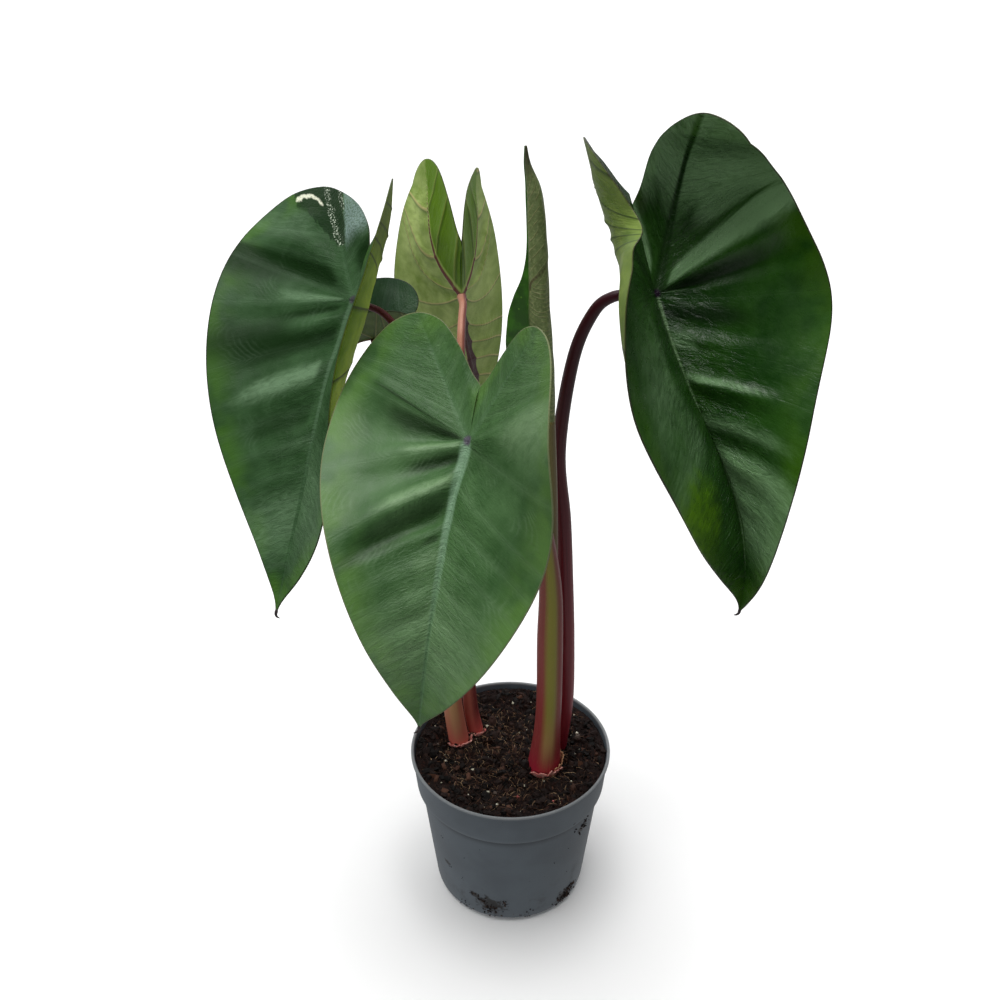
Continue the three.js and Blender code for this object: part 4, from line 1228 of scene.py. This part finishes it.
def pot_finish():
    """Slate grey moulded plastic: fine grain, a paler lip that is painted highlight, painted shadow
    under the band's edge with a painted highlight along that edge, and peat dust near the foot.
    """
    finish = Finish("pot_plastic", 0.42)
    place = finish.place()
    x, y, z = finish.split(place)
    cloud = finish.noise(place, 38, 3)
    lip = z.ease(POT_HEIGHT - 1.5, POT_HEIGHT - 0.7)
    dusty = (1 - z.ease(2, 46)) * finish.noise(place, 11, 5, 0.65).ease(0.5, 0.78)
    stains = []
    for degrees, up, reach in SMUDGES:
        radius = FOOT_RADIUS + (SHOULDER_RADIUS - FOOT_RADIUS) * (up - 8) / (BAND_BOTTOM - 10)
        turn = math.radians(degrees)
        off = finish.join(x - radius * math.cos(turn), y - radius * math.sin(turn), (z - up) * 1.3)
        share = 1 - (finish.length(off) / reach + (finish.noise(place, 3.2, 4) - 0.5) * 2.2).ease(0.5, 1.0)
        stains.append((share * 0.92, (20, 16, 15)))
    specks = (1 - finish.cells(place, 7).ease(0.035, 0.07)) * finish.noise(place, 20, 1).ease(0.5, 0.6)
    colour = finish.layers(
        finish.mix(cloud.ease(0.3, 0.7), (78, 87, 95), (90, 100, 108)),
        # painted shadow under the band's lower edge, then a painted highlight along that edge
        (z.ease(72, 79) * (1 - z.ease(79.4, 79.9)) * 0.75, (40, 45, 50)),
        (z.ease(79.6, 80.1) * (1 - z.ease(80.8, 83)) * 0.2, (118, 126, 132)),
        # painted highlight along the lip
        (lip * (0.75 + (finish.noise(place, 6, 3) - 0.5) * 0.5), (136, 139, 141)),
        (dusty * 0.55, (64, 56, 46)),
        *stains,
        (specks * 0.8, (38, 32, 28)),
    )
    roughness = 0.5 + dusty * 0.25 + (cloud - 0.5) * 0.1
    return finish.wear(colour, roughness, finish.noise(place, 0.5, 2) * 0.4 + cloud * 0.3, 0.15)


def pot():
    """The turned shell, with the drain holes cut out round the edge of its floor."""
    points, faces = lathe(rounded(pot_profile(), CORNER_RADIUS), POT_TURNS)
    body = piece("pot_shell", points, faces, pot_finish(), "pot_plastic", ["pot"])
    drill_points, drill_faces = [], []
    low, high = DRILL_SPAN
    drill_profile = np.array([(0, low), (DRAIN_RADIUS, low), (DRAIN_RADIUS, high), (0, high)], float)
    one, one_faces = lathe(drill_profile, DRAIN_TURNS)
    for i in range(DRAIN_COUNT):
        angle = math.radians(DRAIN_FIRST + i * 360 / DRAIN_COUNT)
        drill_points.append(one + [DRAIN_AT * math.cos(angle), DRAIN_AT * math.sin(angle), 0])
        drill_faces += [faces + i * len(one) for faces in one_faces]
    drill = placed("drill", mesh_of("drill", np.vstack(drill_points), drill_faces))
    cut = body.modifiers.new("drain_holes", "BOOLEAN")
    cut.operation = "DIFFERENCE"
    cut.solver = "EXACT"
    cut.object = drill
    settled = body.evaluated_get(bpy.context.evaluated_depsgraph_get())
    mesh = bpy.data.meshes.new_from_object(settled)
    body.modifiers.clear()
    body.data = mesh
    mesh.set_sharp_from_angle(angle=math.radians(SHARP_EDGE))
    bpy.data.objects.remove(drill)


# Peat

def peat_height(x, y):
    """The lumpy level of the peat: broad waves, finer swells and small crumbs."""
    r = np.hypot(x, y)
    broad = np.sin(x / 9 + 1) * np.cos(y / 8) + 0.6 * np.sin(x / 4.3 + y / 5.1)
    edge = np.minimum(1, (RIM_RADIUS - r) / 14)
    fine = 1.8 * rough(x, y, 4.6, 3) + 0.8 * rough(x, y, 2.1, 5) + 0.4 * rough(x, y, 1.0, 7)
    inside = 1 - ease(r, 53, 57)
    heaped = PEAT_HEAP * ease(r, 34, 56)
    return PEAT_LEVEL + heaped + PEAT_LUMP * broad * edge + fine * (0.35 + 0.65 * inside)


def on_peat(flat, lift):
    """Points over the flat places, lifted off the peat by that much."""
    return np.column_stack([flat, peat_height(*flat.T) + lift])


def peat_finish():
    """Peat: near black to red brown by patches, darker in its hollows."""
    finish = Finish("peat", 0.25)
    place = finish.place()
    patch = finish.noise(place, 5.5, 4, 0.7)
    grit = finish.noise(place, 1.1, 4, 0.7)
    colour = finish.mix(grit.ease(0.35, 0.7), (16, 9, 8), (42, 24, 20))
    colour = finish.mix(patch.ease(0.52, 0.75) * grit.ease(0.4, 0.6), colour, (80, 44, 34))
    return finish.wear(colour, 0.85 + (grit - 0.5) * 0.2, grit + patch * 0.5, 0.8)


def peat():
    """A closed body: rings out over the lumpy top and then down the inside of the pot."""
    angle = circle(PEAT_TURNS)
    r = (np.linspace(0.008, 1, PEAT_RINGS) * (RIM_RADIUS - LIP_WIDTH - LIP_GAP))[:, None]
    x, y = r * np.cos(angle), r * np.sin(angle)
    rings = [np.stack([x, y, peat_height(x, y)], -1)]
    gap = WALL + WALL_GAP
    bottom = FLOOR + FLOOR_GAP
    wall = [
        (BAND_RADIUS - gap, BAND_BOTTOM + 1), (SHOULDER_RADIUS - gap, BAND_BOTTOM - 2),
        (FOOT_RADIUS - gap, 8), (FOOT_RADIUS - gap - 2, bottom),
    ]
    for radius, z in wall:
        rings.append(np.stack([radius * np.cos(angle), radius * np.sin(angle), z + 0 * angle], -1)[None])
    points, faces = closed(np.concatenate(rings), [[0, 0, peat_height(0.0, 0.0)], [0, 0, bottom]], True)
    piece("peat_top", points, faces, peat_finish(), "peat", ["peat"])


# Less far apart than this, two corners of the ball share an edge.
NEIGHBOUR = 1.1


def ball():
    """The twelve corners and twenty faces of an icosahedron of radius 1."""
    g = (1 + 5**0.5) / 2
    corners = [(s, t * g, 0) for s in (-1, 1) for t in (-1, 1)]
    corners = corners + [(0, p[0], p[1]) for p in corners[:4]] + [(p[1], 0, p[0]) for p in corners[:4]]
    points = unit(np.array(corners, float))
    gap = np.linalg.norm(points[:, None] - points[None], axis=-1)
    near = gap < NEIGHBOUR
    faces = []
    for i in range(12):
        for j in range(i + 1, 12):
            for k in range(j + 1, 12):
                if near[i, j] and near[j, k] and near[i, k]:
                    out = np.dot(np.cross(points[j] - points[i], points[k] - points[i]), points[i])
                    faces.append((i, j, k) if out > 0 else (i, k, j))
    return points, np.array(faces)


def lumps(name, places, sizes, stretch, tones, finish, seed):
    """Many crumbs in one mesh: copies of a ball, each stretched, turned and roughened."""
    rng = np.random.default_rng(seed)
    corners, faces = ball()
    count = len(places)
    scale = sizes[:, None] * rng.uniform(*stretch, (count, 3))
    turn = np.linalg.qr(rng.normal(size=(count, 3, 3)))[0]
    turn[np.linalg.det(turn) < 0] *= -1
    bump = rng.uniform(0.5, 1.3, (count, 12, 1))
    body = corners[None] * bump * scale[:, None]
    points = np.einsum("nij,nkj->nki", turn, body) + places[:, None]
    every = (faces[None] + 12 * np.arange(count)[:, None, None]).reshape(-1, 3)
    piece(name, points.reshape(-1, 3), [every], finish, "peat", (), {"tone": np.repeat(tones, 12)}, False)


# A strand's points and sides, its most bend in radians, how far from the middle of the pot it may
# lie and how far its middle line lies over the peat.
STRAND_POINTS = 7
STRAND_SIDES = 4
STRAND_SWING = 1.6
STRAND_REACH = 54.5
STRAND_LIFT = 0.15


def strands(name, places, headings, lengths, radii, rise, tones, finish, seed):
    """Many fibres in one mesh: each is an arc over the peat, four sided and pointed."""
    rng = np.random.default_rng(seed)
    steps, sides = STRAND_POINTS, STRAND_SIDES
    count = len(places)
    t = np.linspace(0, 1, steps)[None, :]
    swing = rng.uniform(-STRAND_SWING, STRAND_SWING, count)[:, None]
    turned = headings[:, None] + swing * (t - 0.5)
    dx = np.cumsum(np.cos(turned), 1) * (lengths / steps)[:, None]
    dy = np.cumsum(np.sin(turned), 1) * (lengths / steps)[:, None]
    x = places[:, 0:1] + dx
    y = places[:, 1:2] + dy
    inside = np.minimum(1, STRAND_REACH / np.hypot(x, y))
    x, y = x * inside, y * inside
    ground = peat_height(x, y)
    z = ground + STRAND_LIFT + rise[:, None] * np.sin(np.pi * t)
    r = radii[:, None] * (1 - 0.75 * np.abs(2 * t - 1) ** 3)
    side = np.stack([-np.sin(turned), np.cos(turned), 0 * turned], -1)
    up = np.array([0, 0, 1.0])
    angle = circle(sides)
    centre = np.stack([x, y, z], -1)
    ring = centre[:, :, None] + r[:, :, None, None] * (
        side[:, :, None] * np.cos(angle)[None, None, :, None] + up * np.sin(angle)[None, None, :, None]
    )
    quads = grid_faces(steps, sides)
    first = np.arange(sides)[None, ::-1]
    final = first[:, ::-1] + (steps - 1) * sides
    block = np.vstack([quads, first, final])[:, ::-1]
    faces = (block[None] + steps * sides * np.arange(count)[:, None, None]).reshape(-1, 4)
    piece(name, ring.reshape(-1, 3), [faces], finish, "peat", (), {"tone": np.repeat(tones, steps * sides)})


def tinted(name, roughness, *stops):
    """A finish whose colour runs through the stops by each crumb's or fibre's own tone."""
    finish = Finish(name, 0.3)
    share = finish.field("tone")
    last = len(stops) - 1
    steps = [(share.ease(k / last, (k + 1) / last), stops[k + 1]) for k in range(last)]
    grit = finish.noise(finish.place(), 0.6, 3)
    return finish.wear(finish.layers(stops[0], *steps), roughness + (grit - 0.5) * 0.2, grit, 0.3)


def scatter(rng, count, most):
    """Random places on the peat's disc, spread evenly."""
    r = most * np.sqrt(rng.uniform(0, 1, count))
    angle = rng.uniform(0, 2 * np.pi, count)
    return np.stack([r * np.cos(angle), r * np.sin(angle)], -1)


# Loose pieces as x, y and size.
PERLITE = [
    (-23, -14.8, 1.5), (-14.4, 23.8, 1.1), (6.1, 21.1, 0.8), (-13.4, -30.5, 1.2), (-9.8, -29.7, 1.0),
    (-38.9, -4.6, 0.9), (-21.5, -37.8, 0.7), (8.5, -24, 0.9), (41.2, 15.7, 1.3), (42.5, 4.1, 0.8),
    (-8, -41.8, 0.7), (20, 38, 1.0), (-30, 30, 0.9), (2, 44, 1.1), (36, -24, 0.8),
]

# Fibres in the peat by kind: count, middle, spread, length, thickness and how rare pale ones are.
FIBRES = {
    "fibres": (1000, (0, 0), 53, 12, 0.17, 1.9),
    "fluff": (1100, (-5, 2), 38, 5.5, 0.13, 0.6),
    "roots": (90, (0, 0), 50, 24, 0.3, 3.5),
}

# More loose pieces as x, y and size.
STONES = [
    (41.4, 13, 2.6), (-13.4, -32.4, 1.3), (-9, -31.1, 1.4), (-6, -35, 0.9), (12, 30, 1.2), (-44, 8, 1.0),
]
PINK_BITS = [
    (-45, -19.8, 1.5), (-43.5, -22, 1.1), (24.5, -40.2, 1.4), (4.2, -36.2, 1.0), (26, 30, 1.0), (-5, 40, 0.9),
]

# How many loose pieces are spread at random, and how far from the middle of the pot.
CRUMBS = 3800
CRUMB_REACH = 56
BARK = 220
BARK_REACH = 54
SMALL_PERLITE = 34
PERLITE_REACH = 53


def peat_litter():
    """The crumbs, fibres, bark and loose pieces on the peat, in the order of their draws."""
    rng = np.random.default_rng(SEED)
    flat = scatter(rng, CRUMBS, CRUMB_REACH)
    sizes = 0.4 + 2.1 * rng.uniform(0, 1, CRUMBS) ** 3.2
    tones = np.clip(rng.normal(0.26, 0.24, CRUMBS), 0, 1)
    finish = tinted("peat_crumbs", 0.8, (10, 6, 5), (28, 16, 13), (50, 30, 23), (90, 60, 46))
    lumps("peat_crumbs", on_peat(flat, sizes * 0.15), sizes, (0.3, 1.5), tones, finish, SEED + 1)

    finish = tinted("peat_fibres", 0.7, (24, 14, 11), (58, 37, 28), (120, 88, 66), (196, 164, 128))
    for part, (count, middle, most, longest, thickest, light) in FIBRES.items():
        flat = scatter(rng, count, most) + middle
        strands(
            "peat_" + part, flat, rng.uniform(0, 2 * np.pi, count), rng.uniform(0.25, 1, count) * longest,
            rng.uniform(0.4, 1, count) * thickest, rng.uniform(0.1, 1.6, count) ** 1.6,
            rng.uniform(0, 1, count) ** light, finish, SEED + count,
        )

    places = on_peat(scatter(rng, BARK, BARK_REACH), 0.4)
    sizes = rng.uniform(0.9, 2.6, BARK)
    tones = rng.uniform(0, 1, BARK) ** 1.5
    finish = tinted("peat_bark", 0.75, (18, 11, 9), (46, 28, 21), (88, 58, 44))
    lumps("peat_bark", places, sizes, (0.14, 1.6), tones, finish, SEED + 5)

    extra = scatter(rng, SMALL_PERLITE, PERLITE_REACH)
    perlite = np.vstack([PERLITE, np.column_stack([extra, rng.uniform(0.3, 0.65, SMALL_PERLITE)])])
    white = tinted("perlite", 0.7, (196, 192, 170), (232, 228, 208))
    grey = tinted("peat_stones", 0.75, (84, 70, 64), (132, 118, 108))
    rosy = tinted("sheath_bits", 0.6, (150, 70, 66), (196, 110, 104))
    for name, bits, raised, lift, stretch, finish, seed in (
        ("peat_perlite", perlite, 0.7, 0, (0.75, 1.1), white, SEED + 3),
        ("peat_stones", np.array(STONES), 0.4, 0, (0.75, 1.1), grey, SEED + 6),
        ("sheath_bits", np.array(PINK_BITS), 0, 0.3, (0.4, 1.3), rosy, SEED + 4),
    ):
        places = on_peat(bits[:, :2], bits[:, 2] * raised + lift)
        lumps(name, places, bits[:, 2], stretch, rng.uniform(0, 1, len(bits)), finish, seed)


# Stains on the pot, as angle, height and reach.
SMUDGES = [(-105, 16, 10), (-117, 21, 4), (-43, 10, 9), (-36, 67, 5), (-140, 38, 3), (-49, 82, 2.5)]

# Soil on the outside of the pot, as angle, height, spread, count and size of the crumbs.
WALL_SOIL = [
    (-104, 11, 3.4, 46, 0.9), (-112, 18, 2.2, 22, 0.8), (-95, 18, 2.0, 20, 0.8), (-120, 21, 1.2, 9, 0.7),
    (-45, 8, 3.4, 44, 1.2), (-38, 11, 2.6, 30, 1.1), (-35, 68, 3.4, 26, 0.9), (-49, 82, 0.4, 2, 0.6),
    (-75, 4, 3.0, 14, 0.9), (-128, 5, 3.0, 16, 0.8),
    (-141, 60, 0.6, 3, 0.5), (-123, 54, 0.3, 2, 0.4), (-48, 57, 0.4, 2, 0.5), (-59, 50, 0.3, 2, 0.5),
    (-46, 33, 0.4, 2, 0.5), (-138, 36, 0.8, 4, 0.5), (-127, 33, 0.8, 3, 0.4), (-110, 68, 0.3, 1, 0.5),
]


def wall_soil():
    """Crumbs of peat that stick to the wall, each patch spread by a normal draw."""
    rng = np.random.default_rng(SEED + 20)
    radii, heights = zip(*pot_profile()[1:11])
    places, sizes = [], []
    for degrees, z, spread, count, size in WALL_SOIL:
        up = np.clip(z + rng.normal(0, spread, count), 1, 90)
        r = np.interp(up, heights, radii)
        angle = np.radians(degrees) + rng.normal(0, spread, count) / r
        places.append(np.stack([r * np.cos(angle), r * np.sin(angle), up], -1))
        sizes.append(size * rng.uniform(0.4, 1.0, count))
    places = np.vstack(places)
    tones = rng.uniform(0, 0.8, len(places))
    finish = tinted("wall_soil", 0.85, (14, 10, 9), (38, 27, 22), (78, 58, 46))
    lumps("wall_soil", places, np.concatenate(sizes), (0.5, 1.2), tones, finish, SEED + 21)


# Sheath remnant

COLLAR_STEPS = 90
COLLAR_RISE = 10


def papery(name, low, high):
    """Dry papery skin: soft clouds between two colours."""
    finish = Finish(name, 0.3)
    cloud = finish.noise(finish.place(), 2.2, 4)
    return finish.wear(finish.mix(cloud.ease(0.35, 0.65), low, high), 0.7, cloud, 0.5)


def collar(name, stalk_name, inner, angles, sunk, height, thick, flare, finish, seed, nodes=()):
    """A torn papery collar: a wall round part of a stalk's foot. Its height is torn by random
    dips, and it leans out and crinkles by sines of the angle."""
    x, y = STALKS[stalk_name][0][:2]
    t = np.linspace(0, 1, COLLAR_STEPS)[:, None]
    v = np.linspace(0, 1, COLLAR_RISE)[None, :]
    angle = np.radians(angles[0] + (angles[1] - angles[0]) * t)
    torn = height * (0.45 + 0.55 * np.sin(np.pi * np.minimum(1, t * 0.62 + 0.1)))
    torn = torn * (1 + 0.3 * rough(t * 30, 0 * t, 1.6, seed)) * ease(np.minimum(t, 1 - t), -0.02, 0.06)
    lean = flare * v**1.5 + 0.25 * np.sin(t * 31 + seed) * v + 0.12 * np.sin(t * 77) * v
    z = PEAT_LEVEL - sunk + torn * v
    walls = []
    for offset in (0, thick):
        r = inner + lean + offset
        walls.append(np.stack([x + r * np.cos(angle), y + r * np.sin(angle), z + 0 * r], -1))
    loop = np.concatenate([walls[0], walls[1][:, ::-1]], 1)
    points, faces = closed(loop, [loop[0].mean(0), loop[-1].mean(0)], True)
    piece(name, points, faces, finish, "sheath_paper", nodes)


def sheath():
    """The dry remnant on the right of the front stalk, and fleshy frills round three feet."""
    tan = papery("sheath_tan", (150, 104, 74), (206, 160, 122))
    rosy = papery("sheath_rosy", (186, 96, 92), (232, 172, 160))
    dry = ["sheath_remnant"]
    collar("sheath_remnant_dry", "front", 10.1, (-62, 35), -0.4, 8.2, 0.5, 1.1, tan, 2, dry)
    collar("sheath_foot_front", "front", 9.7, (-140, -20), 0.4, 5.2, 0.9, 1.8, rosy, 5)
    collar("sheath_foot_left", "left", 6.3, (-160, 20), 0.6, 3.8, 1.0, 1.2, rosy, 9)
    collar("sheath_foot_back", "back", 4.8, (-160, 0), 0.6, 3.6, 1.0, 0.9, rosy, 13)


# Camera, light and floor

CAMERA_AT = (-6.3, -600, 660.8)
CAMERA_PITCH = 32.45
FOCAL_SHARE = 1.333
SENSOR = 36

# In metres: the nearest and farthest that the camera sees, and half of the floor's side.
NEAREST = 0.05
FARTHEST = 60
FLOOR_REACH = 12

# Each light as azimuth from +X, elevation and spread in degrees, and power.
OVERHEAD = (-150, 84, 44, 2.9)
WINDOW = (-130, 35, 60, 0.75)


def camera():
    """The viewpoint that the pot's rim gave."""
    data = bpy.data.cameras.new("camera")
    data.sensor_width = SENSOR
    data.lens = SENSOR * FOCAL_SHARE
    data.clip_start = NEAREST
    data.clip_end = FARTHEST
    eye = placed("camera", data)
    eye.location = [c * MM for c in CAMERA_AT]
    eye.rotation_euler = (math.radians(90 - CAMERA_PITCH), 0, 0)
    bpy.context.scene.camera = eye


def sky(name, azimuth, elevation, spread, power, glossy):
    """A broad even light from a direction, in degrees from +X and above the floor."""
    data = bpy.data.lights.new(name, "SUN")
    data.energy = power
    data.angle = math.radians(spread)
    lamp = placed(name, data)
    lamp.rotation_euler = (math.radians(90 - elevation), 0, math.radians(azimuth + 90))
    lamp.visible_glossy = glossy


def studio():
    """A white floor that sends no light back to the plant, two suns, and a world whose strength
    changes by direction: stronger behind the plant than in front, and even well below it."""
    finish = Finish("floor", 0.2, **{"Base Color": (0.9, 0.9, 0.9, 1), "Roughness": 0.9})
    mesh = bpy.data.meshes.new("floor")
    reach = FLOOR_REACH
    corners = [(-reach, -reach, 0), (reach, -reach, 0), (reach, reach, 0), (-reach, reach, 0)]
    mesh.from_pydata(corners, [], [(0, 1, 2, 3)])
    mesh.materials.append(finish.material)
    floor = placed("floor", mesh)
    floor.visible_glossy = False
    floor.visible_diffuse = False
    sky("overhead", *OVERHEAD, True)
    sky("window", *WINDOW, False)
    world = bpy.data.worlds.new("studio")
    world.use_nodes = True
    nodes = Nodes(world.node_tree)
    _, y, z = nodes.split(nodes.where("Generated"))
    upper = y.ease(-0.3, 0.7, 0.12, 0.85)
    both = nodes.node("Mix", {}, {0: z.ease(0.0, -0.4), 2: upper, 3: 0.5})
    background = world.node_tree.nodes["Background"]
    nodes.feed(background.inputs["Strength"], Value(nodes, both.outputs[0]))
    nodes.feed(background.inputs["Color"], (1, 1, 1, 1))
    bpy.context.scene.world = world
    bpy.context.scene.view_settings.view_transform = "Standard"


camera()
studio()
pot()
peat()
peat_litter()
wall_soil()
sheath()
for number, leaf_name in enumerate(BLADES):
    leaf(leaf_name, BLADE_SEED + BLADE_SEED_STEP * number)
for stalk_name in STALKS:
    form = sheath_form if stalk_name == "front" else None
    stalk(stalk_name, "stalk_" + stalk_name, stalk_rows(stalk_name), squash=form)
stalk("rolled", "stalk_front", ROLLED_STALK, ROLLED_STEPS, ROLLED_SIDES)
rolled_leaf()
for leaf_name, turned in DRIP_TIPS.items():
    drip_tip(leaf_name, turned)
